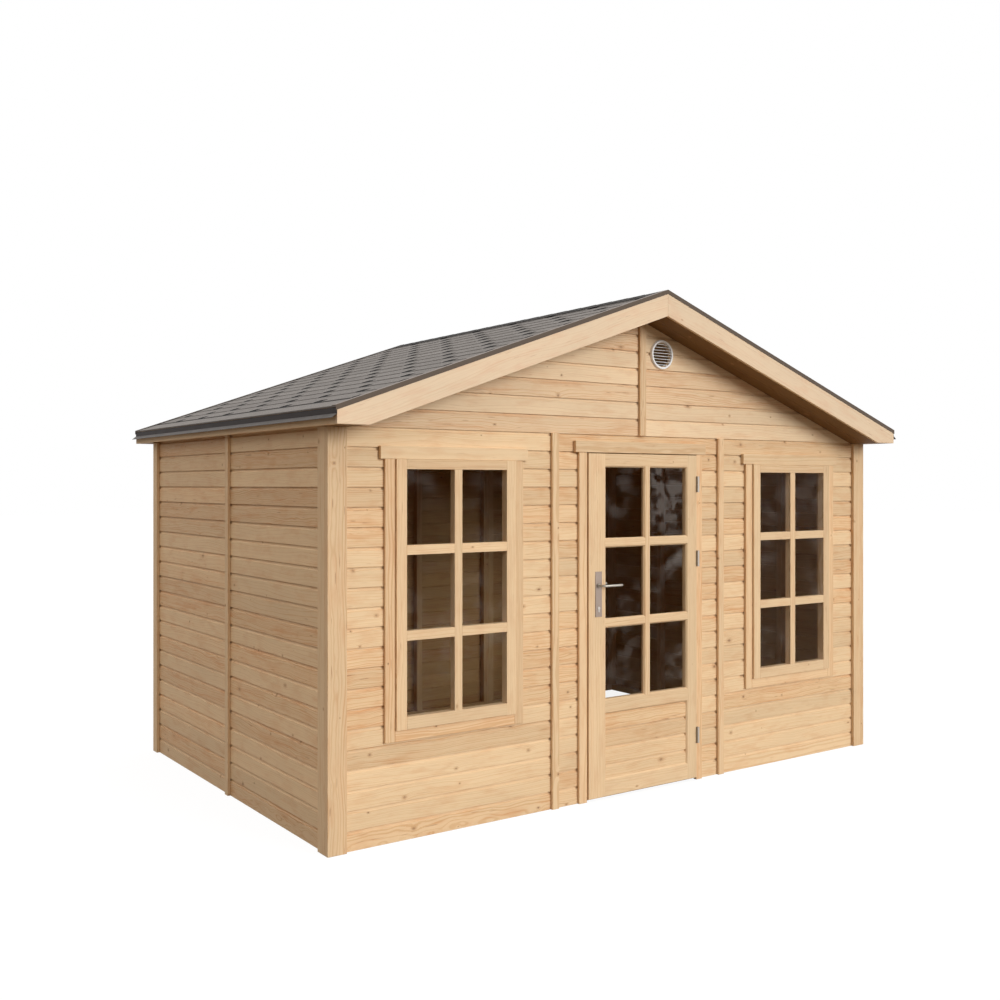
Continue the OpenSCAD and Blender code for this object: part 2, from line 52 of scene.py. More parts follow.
FRAME_EDGE, TRIM_EDGE, GLASS_EDGE = 0.002, 0.0015, 0.0004  # how far edges are eased

# Cladding board: flat face, then a hollow that the next board's edge overhangs
COURSES = 21
FLAT_H, HOLLOW_D, EDGE = 0.0777, 0.009, 0.0008
GROOVE = 0.0035  # cut off both back corners of a board, for a V between boards on the inside
TONGUE, LIP_T = 0.006, 0.0055  # rise of the tongue behind the next board's lip, and the lip's depth

# Glazing bars
WINDOW_BAR_W, WINDOW_BAR_H, WINDOW_BAR_D = 0.045, 0.047, 0.040
DOOR_BAR_W, DOOR_BAR_H, BEAD_W, BEAD_D = 0.050, 0.052, 0.008, 0.008
PANE_COLUMNS, PANE_ROWS = 2, 3

PLATE_T = 0.003  # thickness of the lock's plates
VENT_FLANGE = 0.017  # how far the vent's flange laps over the edge of its bore

# Shingles: rows of tabs with a notch between neighbours
EXPOSURE, FIRST_ROW, SHINGLE_T = 0.131, 0.146, 0.0026
TAB_W, NOTCH_MOUTH, NOTCH_TOP, NOTCH_H = 0.402, 0.104, 0.080, 0.047
LAP = 0.055  # how far a row runs on beneath the next one
STRIP_W = 0.06  # starter strip along the eave
TABS_A_PIECE = 3
JOINT = 0.0006  # half the gap between shingles side by side
SHORTEST = 0.05  # no shingle is cut shorter than this at a verge
NOTCH_PHASE = (-0.975, -1.177)  # Y of one notch in even and in odd rows


# ---------------------------------------------------------------- materials

class Tree:
    """A material's node tree, written as short calls that give back sockets."""

    def __init__(self, name, owner=None):
        self.owner = owner or bpy.data.materials.new(name)
        self.owner.use_nodes = True
        self.nodes = self.owner.node_tree.nodes
        self.links = self.owner.node_tree.links
        self.nodes.clear()

    def put(self, socket, value):
        if isinstance(value, bpy.types.NodeSocket):
            self.links.new(value, socket)
        else:
            socket.default_value = value

    def node(self, kind, inputs=None, **settings):
        made = self.nodes.new("ShaderNode" + kind)
        for key, value in settings.items():
            setattr(made, key, value)
        for key, value in (inputs or {}).items():
            self.put(made.inputs[key], value)
        return made

    def math(self, operation, *values):
        made = self.node("Math", operation=operation)
        for socket, value in zip(made.inputs, values):
            self.put(socket, value)
        return made.outputs[0]

    def mul(self, a, b):
        return self.math("MULTIPLY", a, b)

    def add(self, a, b):
        return self.math("ADD", a, b)

    def fit(self, value, gain, base):
        """The value times gain, plus base."""
        return self.math("MULTIPLY_ADD", value, gain, base)

    def total(self, value, *parts):
        """The value plus, for each part, its own value times its gain, plus its base."""
        for part in parts:
            value = self.add(value, self.fit(*part))
        return value

    def less(self, value):
        """1 minus the value."""
        return self.math("SUBTRACT", 1.0, value)

    def vector(self, x, y, z=0.0):
        return self.node("CombineXYZ", {"X": x, "Y": y, "Z": z}).outputs[0]

    def split(self, vector):
        return self.node("SeparateXYZ", {"Vector": vector}).outputs

    def attribute(self, name):
        return self.node("Attribute", attribute_name=name).outputs["Vector"]

    def place(self):
        return self.node("TexCoord").outputs["Object"]

    def noise(self, vector, scale=1.0, detail=2.0, rough=0.5):
        return self.node("TexNoise", {"Vector": vector, "Scale": scale, "Detail": detail,
                                      "Roughness": rough}).outputs["Fac"]

    def step(self, value, low, high):
        """0 below low and 1 above high, with a smooth rise between them."""
        return self.node("MapRange", {"Value": value, "From Min": low, "From Max": high},
                         interpolation_type="SMOOTHSTEP").outputs[0]

    def blend(self, share, a, b, mode="MIX"):
        made = self.node("Mix", data_type="RGBA", blend_type=mode)
        for index, value in ((0, share), (6, a), (7, b)):
            self.put(made.inputs[index], value if index == 0 else rgba(value))
        return made.outputs[2]

    def lit(self, colour, light):
        """A colour made lighter or darker."""
        return self.blend(1.0, colour, self.vector(light, light, light), "MULTIPLY")

    def bump(self, height, distance, strength=1.0):
        inputs = {"Height": height, "Distance": distance, "Strength": strength}
        return self.node("Bump", inputs).outputs[0]

    def surface(self, **inputs):
        """Ends the tree in a Principled shader."""
        named = {key.replace("_", " "): value for key, value in inputs.items()}
        shader = self.node("BsdfPrincipled", named)
        self.finish(shader.outputs[0])
        return self.owner

    def mixed(self, share, first, second):
        """Ends the tree in two shaders, with the second one's share."""
        shader = self.node("MixShader", {0: share, 1: first.outputs[0], 2: second.outputs[0]})
        self.finish(shader.outputs[0])
        return self.owner

    def finish(self, shader):
        kind = "OutputWorld" if isinstance(self.owner, bpy.types.World) else "OutputMaterial"
        self.node(kind, {"Surface": shader})


def rgba(colour):
    return (*colour, 1.0) if isinstance(colour, tuple) and len(colour) == 3 else colour


def pine(name, pale, late, red, knot_share=0.5, ring_share=0.5, streak_share=0.6, bump_mm=0.25,
         spread=0.12, wave=0.007):
    """Planed pine: growth rings, long streaks, knots, fibres and a tone for each board.
    It reads each board's own coordinates, along and across the grain, from its mesh.
    spread is how far the boards differ in lightness, wave how far the rings sway (m)."""
    t = Tree(name)
    grain = t.attribute("grain")
    along, across, depth = t.split(grain)
    tone = t.split(t.attribute("tone"))

    def stretched(lengthwise, crosswise, detail=2.0, rough=0.5):
        """Noise drawn out along the board, by its scales along and across the grain."""
        return t.noise(t.vector(t.mul(along, lengthwise), t.mul(across, crosswise),
                                t.mul(depth, crosswise)), detail=detail, rough=rough)

    # Knots sit in cells about 0.4 m long and 0.12 m wide, and are ragged ovals
    run, width = 2.4, 8.0
    cell = t.vector(t.mul(along, run), t.mul(across, width))
    knots = t.node("TexVoronoi", {"Vector": cell, "Scale": 1.0}, voronoi_dimensions="2D")
    away = t.split(t.node("VectorMath", {0: cell, 1: knots.outputs["Position"]},
                          operation="SUBTRACT").outputs[0])
    chance = t.split(knots.outputs["Color"])
    squash = t.fit(chance[1], 0.5, 0.5)
    off_along = t.mul(away[0], t.mul(squash, 1 / run))
    off_across = t.mul(away[1], 1 / width)
    reach = t.math("SQRT", t.add(t.mul(off_along, off_along), t.mul(off_across, off_across)))
    ragged = t.noise(grain, 160.0, 2.0)
    reach = t.mul(reach, t.fit(ragged, 0.9, 0.55))
    size = t.math("MAXIMUM", t.math("SUBTRACT", chance[0], 1 - knot_share), 0.0)
    radius = t.fit(size, 0.014, 0.00001)
    ratio = t.math("DIVIDE", reach, radius)
    core = t.less(t.step(ratio, 0.5, 1.05))
    halo = t.less(t.step(ratio, 0.8, 2.6))
    swell = t.math("DIVIDE", t.mul(radius, 1.8), t.fit(t.mul(ratio, ratio), 0.12, 1.0))

    # Rings lie round the log's core, which wanders along the board
    drift = stretched(1.3, 3.0)
    drift = t.fit(drift, 0.10, -0.05)
    from_core = t.node("VectorMath", {0: t.vector(t.add(across, drift), depth)},
                       operation="LENGTH").outputs["Value"]
    # A few boards are richly figured: wavy rings and reddish bands, where the grain meets the face
    figure = t.step(tone[1], 0.35, 0.95)
    waves = stretched(8.0, 16.0, detail=1.0)
    waves = t.mul(figure, t.fit(waves, wave, -wave / 2))
    ring_at = t.add(t.add(from_core, swell), waves)
    rings = t.node("TexNoise", {"W": ring_at, "Scale": 190.0, "Detail": 1.0},
                   noise_dimensions="1D").outputs["Fac"]
    rings = t.step(rings, 0.49, 0.63)
    streaks = stretched(3.2, 40.0, rough=0.55)
    streaks = t.mul(t.step(streaks, 0.50, 0.66), t.fit(rings, 0.75, 0.25))
    fibres = stretched(22.0, 520.0)
    clouds = stretched(2.0, 9.0)

    share = t.fit(figure, ring_share * 0.6, ring_share * 0.4)
    colour = t.blend(t.mul(rings, share), pale, late)
    reddish = t.mul(streaks, t.fit(figure, streak_share * 0.8, streak_share * 0.2))
    blush = stretched(7.0, 22.0, detail=3.0)
    blush = t.mul(t.step(blush, 0.45, 0.75), 0.35)
    reddish = t.add(reddish, t.add(t.mul(figure, t.mul(clouds, streak_share * 0.5)), blush))
    colour = t.blend(t.math("MINIMUM", reddish, 1.0), colour, red)
    resin = stretched(9.0, 150.0, detail=1.0)
    resin = t.mul(t.step(resin, 0.70, 0.78), t.fit(figure, 0.45, 0.2))
    colour = t.blend(resin, colour, (0.34, 0.13, 0.055))
    colour = t.blend(t.mul(halo, 0.45), colour, (0.50, 0.25, 0.11))
    colour = t.blend(t.mul(core, t.fit(chance[2], 0.5, 0.3)), colour, (0.19, 0.085, 0.035))
    light = t.total(t.fit(tone[0], spread, 0.96 - spread / 2), (fibres, 0.14, -0.07),
                    (clouds, 0.16, -0.08))
    colour = t.lit(colour, light)

    relief = t.add(t.mul(fibres, 0.6), t.mul(rings, 0.25))
    relief = t.math("SUBTRACT", relief, t.mul(core, 0.4))
    rough = t.fit(fibres, 0.2, 0.5)
    return t.surface(Base_Color=colour, Roughness=rough, Specular_IOR_Level=0.3,
                     Normal=t.bump(relief, bump_mm / 1000, 0.6))


def shingle_material(name, base, dark):
    """Bitumen shingles: mineral granules. What shows in the notches, the part of a row that lies
    under the next and the notch ends, goes nearly black: partly dark felt, partly painted shade.
    """
    t = Tree(name)
    place = t.attribute("place")
    up = t.split(place)[1]
    tone, under, _ = t.split(t.attribute("tone"))
    granules = t.noise(place, 420.0, 3.0, 0.7)
    patches = t.noise(place, 7.0, 3.0, 0.6)
    sparkle = t.node("TexVoronoi", {"Vector": place, "Scale": 300.0}).outputs["Color"]
    light = t.total(t.fit(granules, 0.5, 0.62), (t.split(sparkle)[0], 0.3, -0.15),
                    (patches, 0.3, -0.15), (tone, 0.10, -0.05))
    edge = t.step(under, 0.02, 0.06)
    colour = t.lit(base, light)
    # Painted shade: the part of a row under the next one, seen only through the notches, and cut
    # edges above a row's foot (the notch ends, the capping's sides) go nearly to the felt's colour,
    # partly the felt's own dark band, partly the shade in the notch and under the capping
    covered_felt_and_shade = t.step(up, EXPOSURE - 0.003, EXPOSURE)
    notch = t.mul(edge, t.step(up, 0.004, 0.014))
    colour = t.blend(t.mul(t.math("MAXIMUM", covered_felt_and_shade, notch), 0.95), colour, dark)
    return t.surface(Base_Color=colour, Roughness=0.9, Specular_IOR_Level=0.25,
                     Normal=t.bump(granules, 0.0012))


def coated_metal(name, colour, rough, up_facing_colour, painted_underside_light=None):
    """Coated sheet metal, a little uneven. Faces that look up take another colour, on the front
    verge trim and drip edges a painted highlight; faces that look down may turn paler: painted
    light from below."""
    t = Tree(name)
    place = t.place()
    mottle = t.noise(place, 9.0, 4.0, 0.6)
    fine = t.noise(place, 600.0, 2.0)
    light = t.total(t.fit(mottle, 0.25, 0.88), (fine, 0.1, -0.05))
    rise = t.split(t.node("NewGeometry").outputs["Normal"])[2]
    # Faces that look up take another colour: on the front verge trim and the drip edges a lighter
    # one, a painted highlight where their lips catch the light
    shade = t.blend(t.mul(t.step(rise, 0.15, 0.6), t.fit(mottle, 0.6, 0.5)), colour, up_facing_colour)
    # Painted light from below: faces that look down turn paler, standing for light reflected up
    # from the floor
    if painted_underside_light:
        shade = t.blend(t.step(t.mul(rise, -1.0), 0.3, 0.6), shade, painted_underside_light)
    shade = t.lit(shade, light)
    return t.surface(Base_Color=shade, Roughness=t.fit(mottle, 0.15, rough - 0.07),
                     Metallic=0.0, Specular_IOR_Level=0.15, Normal=t.bump(fine, 0.0001, 0.4))


def brushed_steel(name, colour, rough, stretch):
    """Satin steel with fine brush lines along one axis."""
    t = Tree(name)
    place = t.place()
    drawn_out = t.vector(*(t.mul(part, by) for part, by in zip(t.split(place), stretch)))
    lines = t.noise(drawn_out, 1.0, 3.0)
    wear = t.noise(place, 30.0, 3.0)
    light = t.total(t.fit(lines, 0.3, 0.8), (wear, 0.1, 0.0))
    shade = t.lit(colour, light)
    return t.surface(Base_Color=shade, Metallic=0.9, Normal=t.bump(lines, 0.00005, 0.5),
                     Roughness=t.fit(lines, 0.2, rough - 0.1))


def white_plastic(name):
    """Moulded plastic with a fine grain and a little grime in patches."""
    t = Tree(name)
    place = t.place()
    grain = t.noise(place, 900.0, 2.0)
    grime = t.noise(place, 40.0, 4.0, 0.6)
    colour = t.blend(t.mul(t.step(grime, 0.45, 0.8), 0.4), (0.94, 0.93, 0.91), (0.84, 0.82, 0.78))
    return t.surface(Base_Color=colour, Roughness=t.fit(grain, 0.15, 0.32),
                     Specular_IOR_Level=0.45, Normal=t.bump(grain, 0.0001, 0.4))


def window_glass_material(name):
    """Thin clear glass: each pane reflects once, faintly, and more in soft leafy patches, a painted
    reflection of trees. The door's upper right pane (x 0.05 to 0.41 m, z over 1.3 m) has a painted
    reflection of sky between thin branches."""
    t = Tree(name)
    place = t.place()
    x, _, z = t.split(place)
    # Painted reflection: leaf-shaped noise raises the mirror's share, standing in for trees that
    # the scene does not hold
    bent = t.noise(place, 2.5, 2.0)
    reflected_leaves = t.noise(t.vector(t.add(t.mul(x, 7.0), t.mul(bent, 2.0)), t.mul(z, 10.0)),
                     detail=4.0, rough=0.6)
    reflected_leaf_clumps = t.noise(t.vector(t.mul(x, 2.1), t.mul(z, 1.7), 3.0), detail=2.0)
    patches = t.mul(t.step(reflected_leaves, 0.40, 0.72), t.step(reflected_leaf_clumps, 0.40, 0.62))
    patches = t.mul(patches, t.fit(t.step(x, -0.1, 0.4), 0.75, 0.45))
    patches = t.mul(patches, t.fit(t.step(x, 0.4, 0.8), -0.62, 1.0))
    # Painted reflection of sky on the door's upper right pane, broken by thin dark branches
    painted_sky_reflection = t.math("SUBTRACT", t.step(x, 0.05, 0.09), t.step(x, 0.37, 0.41))
    painted_sky_reflection = t.mul(painted_sky_reflection, t.step(z, 1.3, 1.6))
    reflected_twigs = t.noise(t.vector(t.add(t.mul(x, 13.0), t.mul(bent, 3.0)), t.mul(z, 11.0), 7.0),
                    detail=4.0)
    painted_sky_reflection = t.mul(painted_sky_reflection, t.fit(t.step(reflected_twigs, 0.44, 0.54), 0.075, 0.008))
    painted_reflection_haze = t.add(t.mul(t.step(x, 0.4, 0.8), 0.006), painted_sky_reflection)
    facing = t.node("LayerWeight", {"Blend": 0.5}).outputs["Facing"]
    share = t.add(t.mul(t.math("POWER", facing, 4.0), 0.3), t.fit(patches, 0.11, painted_reflection_haze))
    front = t.less(t.node("NewGeometry").outputs["Backfacing"])
    clear = t.node("BsdfTransparent", {"Color": (0.985, 0.985, 0.98, 1)})
    mirror = t.node("BsdfGlossy", {"Color": (0.95, 0.88, 0.80, 1), "Roughness": 0.1})
    return t.mixed(t.mul(share, front), clear, mirror)


CLADDING = pine("cladding_pine", (0.83, 0.60, 0.355), (0.66, 0.40, 0.185), (0.67, 0.35, 0.155),
                0.6, 0.85, 0.95, spread=0.16, wave=0.022)
# The gables' pine is lighter than the walls': painted light, making up for the shade under the
# roof's overhang
GABLE_CLADDING_PAINTED_LIGHT = pine("gable_pine_painted_light", (0.88, 0.655, 0.415), (0.73, 0.475, 0.255),
                      (0.73, 0.42, 0.215), 0.6, 0.85, 0.95, spread=0.16, wave=0.022)
# The inner faces of the cladding: the same pine made darker, painted shade inside the shed
INSIDE_PAINTED_SHADE = pine("inside_pine_painted_shade", (0.55, 0.32, 0.125), (0.41, 0.22, 0.075), (0.42, 0.18, 0.058),
              0.6, 0.8, 0.9, wave=0.022)
TRIM = pine("trim_pine", (0.82, 0.595, 0.355), (0.66, 0.41, 0.20), (0.70, 0.40, 0.20),
            0.45, 0.75, 0.6)
BARGE = pine("barge_pine", (0.83, 0.64, 0.435), (0.72, 0.49, 0.28), (0.76, 0.46, 0.28),
             0.45, 0.5, 0.75)
CASING = pine("casing_pine", (0.80, 0.555, 0.32), (0.62, 0.36, 0.165), (0.67, 0.36, 0.17),
              0.35, 0.9, 0.8, spread=0.24)
JOINERY = pine("joinery_pine", (0.82, 0.59, 0.35), (0.66, 0.41, 0.20), (0.68, 0.40, 0.21),
               0.3, 0.75, 0.5)
FRAMING = pine("framing_pine", (0.60, 0.37, 0.17), (0.47, 0.27, 0.11), (0.45, 0.21, 0.075),
               bump_mm=0.6)
# The soffit lining: the same pine made very dark, painted shade beneath the roof's overhang
SOFFIT_PAINTED_SHADE = pine("soffit_pine_painted_shade", (0.185, 0.084, 0.014), (0.14, 0.056, 0.008), (0.13, 0.048, 0.007))
# Nearly black felt, as dark as the shade in the notches and under the capping's edge: partly the
# felt, partly painted shade
FELT_AND_SHADE, BROWN_COAT = (0.004, 0.004, 0.004), (0.113, 0.083, 0.061)
SHINGLE = shingle_material("shingle_granules", (0.30, 0.28, 0.262), FELT_AND_SHADE)
# Much darker than the shingles: painted shade, for the dark line along the ridge
CAPPING_PAINTED_SHADE = shingle_material("capping_granules_painted_shade", (0.075, 0.07, 0.066), FELT_AND_SHADE)
# Lighter on the faces that look up: a painted highlight along the verge trim's lip
VERGE_METAL = coated_metal("verge_metal", BROWN_COAT, 0.55, (0.33, 0.285, 0.255))
# The rear verge trim turns darker on its faces that look up
REAR_VERGE_METAL = coated_metal("rear_verge_metal", BROWN_COAT, 0.55, (0.055, 0.05, 0.046))
# Lighter on the faces that look up, a painted highlight on the lip, and paler on the faces that
# look down, painted light reflected from the floor
DRIP_METAL = coated_metal("drip_metal", (0.032, 0.024, 0.022), 0.6, (0.20, 0.19, 0.18),
                          (0.15, 0.13, 0.125))
HINGE_STEEL = brushed_steel("hinge_steel", (0.34, 0.31, 0.27), 0.5, (300, 300, 20))
LOCK_STEEL = brushed_steel("lock_steel", (0.245, 0.19, 0.158), 0.42, (800, 800, 30))
LEVER_STEEL = brushed_steel("lever_steel", (0.40, 0.37, 0.32), 0.42, (30, 800, 800))
CYLINDER_STEEL = brushed_steel("cylinder_steel", (0.42, 0.38, 0.34), 0.4, (800, 800, 30))
PLASTIC = white_plastic("vent_plastic")
GLASS = window_glass_material("pane_glass")


# ---------------------------------------------------------------- shared shapes

def loose_parts(bm):
    """The vertices of each separate solid in a mesh, in the mesh's own order."""
    bm.verts.ensure_lookup_table()
    seen = set()
    parts = []
    for first in bm.verts:
        if first in seen:
            continue
        seen.add(first)
        part = [first]
        for vert in part:
            for edge in vert.link_edges:
                other = edge.other_vert(vert)
                if other not in seen:
                    seen.add(other)
                    part.append(other)
        parts.append(part)
    return parts


def cad_mesh(node):
    """A CAD node's mesh as flat faces with joined corners."""
    bm = bmesh.new()
    bm.from_mesh(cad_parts[node].data)
    bmesh.ops.remove_doubles(bm, verts=bm.verts, dist=WELD)
    bmesh.ops.dissolve_limit(bm, angle_limit=math.radians(1), verts=bm.verts, edges=bm.edges)
    return bm


def solids(node):
    """The box of each solid of a CAD node, as (lowest corner, highest corner)."""
    bm = cad_mesh(node)
    boxes = []
    for part in loose_parts(bm):
        places = [vert.co for vert in part]
        low = Vector(min(p[i] for p in places) for i in range(3))
        high = Vector(max(p[i] for p in places) for i in range(3))
        boxes.append((low, high))
    bm.free()
    return boxes


def add_object(name, data):
    made = bpy.data.objects.new(name, data)
    bpy.context.scene.collection.objects.link(made)
    return made


def to_object(bm, name, material, body, nodes, smooth=20):
    """Turns a mesh into a piece that stands for CAD nodes and rides on a body."""
    bmesh.ops.recalc_face_normals(bm, faces=bm.faces)
    mesh = bpy.data.meshes.new(name)
    bm.to_mesh(mesh)
    bm.free()
    for polygon in mesh.polygons:
        polygon.use_smooth = True
    mesh.set_sharp_from_angle(angle=math.radians(smooth))
    mesh.materials.append(material)
    piece = add_object(name, mesh)
    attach(piece, body)
    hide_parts(*nodes)
    return piece


def chamfered(low, high, cut):
    """Outline of a rectangle with its four corners cut, between two opposite corners."""
    (a0, d0), (a1, d1) = low, high
    return [(a0 + cut, d0), (a1 - cut, d0), (a1, d0 + cut), (a1, d1 - cut),
            (a1 - cut, d1), (a0 + cut, d1), (a0, d1 - cut), (a0, d0 + cut)]


def eased_box(bm, low, high, edge):
    """A box with eased edges."""
    corners = [bm.verts.new((x, y, z)) for x in (low.x, high.x) for y in (low.y, high.y)
               for z in (low.z, high.z)]
    quads = ((0, 1, 3, 2), (4, 6, 7, 5), (0, 4, 5, 1), (2, 3, 7, 6), (0, 2, 6, 4), (1, 5, 7, 3))
    faces = [bm.faces.new([corners[i] for i in quad]) for quad in quads]
    edges = list(dict.fromkeys(e for face in faces for e in face.edges))
    bmesh.ops.bevel(bm, geom=edges, offset=edge, segments=2, profile=0.5, affect="EDGES")


def ring(bm, centre, side, third, radius, segments):
    """A circle of vertices in the plane of two directions."""
    turns = [2 * math.pi * i / segments for i in range(segments)]
    return [bm.verts.new(centre + (side * math.cos(turn) + third * math.sin(turn)) * radius)
            for turn in turns]


def join_rings(bm, rings, closed=False):
    """Faces between neighbouring rings. A closed run joins its last ring to its first, and an
    open one is capped at both ends."""
    for here, after in zip(rings, rings[1:] + rings[:1] if closed else rings[1:]):
        for i in range(len(here)):
            j = (i + 1) % len(here)
            bm.faces.new((here[i], here[j], after[j], after[i]))
    if not closed:
        bm.faces.new(rings[0][::-1])
        bm.faces.new(rings[-1])


class Boards:
    """A mesh of separate boards. Each carries its own grain coordinates and tone."""

    def __init__(self, seed, inner=None):
        """inner: a second material, for the faces that look into the shed; the cladding gives it a
        darker pine, painted shade.
        """
        self.bm = bmesh.new()
        self.layers(self.bm)
        self.random = random.Random(seed)
        self.inner = inner

    def layers(self, bm):
        self.grain = bm.verts.layers.float_vector.new("grain")
        self.tone = bm.verts.layers.float_vector.new("tone")

    def log(self):
        """Where in a log the next board is cut, and its tone."""
        draw = self.random.uniform
        cut = Vector((draw(0, 90), draw(-0.05, 0.05), draw(0.015, 0.07)))
        return cut, Vector((draw(0, 1), draw(0, 1), draw(0, 1)))

    def mark(self, vert, place, log):
        vert[self.grain] = Vector(place) + log[0]
        vert[self.tone] = log[1]

    def prism(self, outline, ends, to_world, log=None, bend=None):
        """A board with an outline of (across, depth) points, run between two ends. An end is a
        number, or a function of across and depth where the cut isn't square. Where the outline
        crosses across = bend, the ends may change direction."""
        if bend is not None:
            outline = with_crossings(outline, bend)
        log = log or self.log()
        rows = []
        for end in ends:
            row = []
            for across, depth in outline:
                along = end(across, depth) if callable(end) else end
                vert = self.bm.verts.new(to_world(along, across, depth))
                self.mark(vert, (along, across, depth), log)
                row.append(vert)
            rows.append(row)
        count = len(outline)
        for i in range(count):
            j = (i + 1) % count
            face = self.bm.faces.new((rows[0][i], rows[0][j], rows[1][j], rows[1][i]))
            if self.inner and min(outline[i][1], outline[j][1]) > HOLLOW_D:
                face.material_index = 1
        at = [i for i, (across, _) in enumerate(outline) if across == bend]
        loops = [range(count)] if len(at) != 2 else [
            range(at[0], at[1] + 1), [i % count for i in range(at[1], count + at[0] + 1)]]
        for loop in loops:
            self.bm.faces.new([rows[0][i] for i in loop][::-1])
            self.bm.faces.new([rows[1][i] for i in loop])

    def from_cad(self, node, edge):
        """Every solid of a CAD node as a board, with its edges eased."""
        self.bm.free()
        self.bm = cad_mesh(node)
        self.layers(self.bm)
        for part in loose_parts(self.bm):
            # Kept in the mesh's order: a set's order, and so which of equals is picked, can vary
            faces = list(dict.fromkeys(face for vert in part for face in vert.link_faces))
            edges = list(dict.fromkeys(edge for vert in part for edge in vert.link_edges))
            longest = max(edges, key=lambda e: round(e.calc_length(), 5))
            widest = max(faces, key=lambda f: round(f.calc_area(), 7))
            along = (longest.verts[1].co - longest.verts[0].co).normalized()
            depth = widest.normal.normalized()
            across = depth.cross(along)
            log = self.log()
            middle = sum((vert.co for vert in part), Vector()) / len(part)
            for vert in part:
                at = vert.co - middle
                self.mark(vert, (at.dot(along), at.dot(across), at.dot(depth)), log)
        bmesh.ops.bevel(self.bm, geom=self.bm.edges[:], offset=edge, segments=2, profile=0.5,
                        affect="EDGES", clamp_overlap=True)
        return self

    def piece(self, name, material, slot, nodes, body="shed"):
        made = to_object(self.bm, name, material, body, nodes)
        if self.inner:
            made.data.materials.append(self.inner)
        return made


def wall_frame(origin, run, inward):
    """Turns (along, across, depth) into a point of an upright wall: across is up."""
    return lambda along, across, depth: origin + run * along + Z * across + inward * depth


# ---------------------------------------------------------------- cladding

WALL_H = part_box("front_panel_left")[1].z + FIT
COURSE = WALL_H / COURSES


def board_outline(bottom):
    """Section of one cladding board as (height, depth) points, from its course's foot. A lip at
    its foot hangs in front of the tongue of the board below, above that board's hollow."""
    top = bottom + COURSE
    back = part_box("front_panel_left")[1].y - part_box("front_panel_left")[0].y
    hollow_h = COURSE - FLAT_H
    arc = []
    for i in range(6):
        turn = math.radians(90 * i / 5)
        arc.append((top - hollow_h * math.cos(turn), HOLLOW_D * math.sin(turn)))
    arc[-1] = (top + TONGUE, HOLLOW_D)
    shoulder = bottom + TONGUE + FIT
    return [(bottom + EDGE, 0), *arc, (top + TONGUE, back - GROOVE), (top + TONGUE - GROOVE, back),
            (shoulder + GROOVE, back), (shoulder, back - GROOVE), (shoulder, LIP_T),
            (bottom, LIP_T), (bottom, EDGE)]


def clip(outline, low, high):
    """The part of an outline between two heights."""
    for bound, side in ((low, 1), (high, -1)):
        kept = []
        for here, after in zip(outline, outline[1:] + outline[:1]):
            a, b = side * (here[0] - bound), side * (after[0] - bound)
            if a >= 0:
                kept.append(here)
            if a * b < 0:
                share = a / (a - b)
                kept.append((bound, here[1] + (after[1] - here[1]) * share))
        outline = kept
    return outline


def with_crossings(outline, height):
    """The same outline with a point added wherever it crosses a height."""
    made = []
    for here, after in zip(outline, outline[1:] + outline[:1]):
        made.append(here)
        if (here[0] - height) * (after[0] - height) < 0:
            share = (height - here[0]) / (after[0] - here[0])
            made.append((height, here[1] + (after[1] - here[1]) * share))
    return made


def clad(boards, box, axis, to_world, opening=None):
    """Fills a wall solid's box with courses of boards, which stop at an opening in it."""
    low, high = box
    ends = low[axis], high[axis]
    bands = [(low.z, high.z, [ends])]
    if opening:
        sides = [(ends[0], opening[0][axis]), (opening[1][axis], ends[1])]
        bands = [(low.z, opening[0].z, [ends]), (opening[0].z, opening[1].z, sides),
                 (opening[1].z, high.z, [ends])]
    for course in range(COURSES + 1):
        whole = board_outline(course * COURSE)
        log = boards.log()
        for band_low, band_high, spans in bands:
            outline = clip(whole, band_low, band_high)
            heights = [height for height, _ in outline]
            if not outline or max(heights) - min(heights) < TONGUE + SLIVER:
                continue
            for span in spans:
                boards.prism(outline, span, to_world, log)


def clad_walls():
    """Front panels, two of them round a window, then the other three walls."""
    for number, (node, sash_side) in enumerate((
            ("front_panel_left", -1), ("front_panel_right", 1), ("door_panel_left", 0),
            ("door_panel_right", 0), ("door_panel_top", 0))):
        low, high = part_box(node)
        to_world = wall_frame(Vector((0, low.y, 0)), X, Y)
        opening = None
        if sash_side:
            sides = [box for box in solids("window_sashes") if box[0].x * sash_side > 0]
            opening = (
                Vector((min(b[0].x for b in sides) - FIT, 0, min(b[0].z for b in sides) - FIT)),
                Vector((max(b[1].x for b in sides) + FIT, 0, max(b[1].z for b in sides) + FIT)))
        boards = Boards(100 + number, INSIDE_PAINTED_SHADE)
        clad(boards, (low, high), 0, to_world, opening)
        boards.piece(node + "_boards", CLADDING, "cladding", [node])
    walls = ("left_panels", X), ("right_panels", -X), ("rear_panels", -Y)
    for number, (node, inward) in enumerate(walls):
        boards = Boards(200 + number, INSIDE_PAINTED_SHADE)
        low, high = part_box(node)
        face = Vector((low.x if inward == X else high.x, high.y, 0))
        run, axis = (X, 0) if inward == -Y else (Y, 1)
        origin = Vector((0, face.y, 0)) if axis == 0 else Vector((face.x, 0, 0))
        for box in solids(node):
            clad(boards, box, axis, wall_frame(origin, run, inward))
        boards.piece(node + "_boards", CLADDING, "cladding", [node])


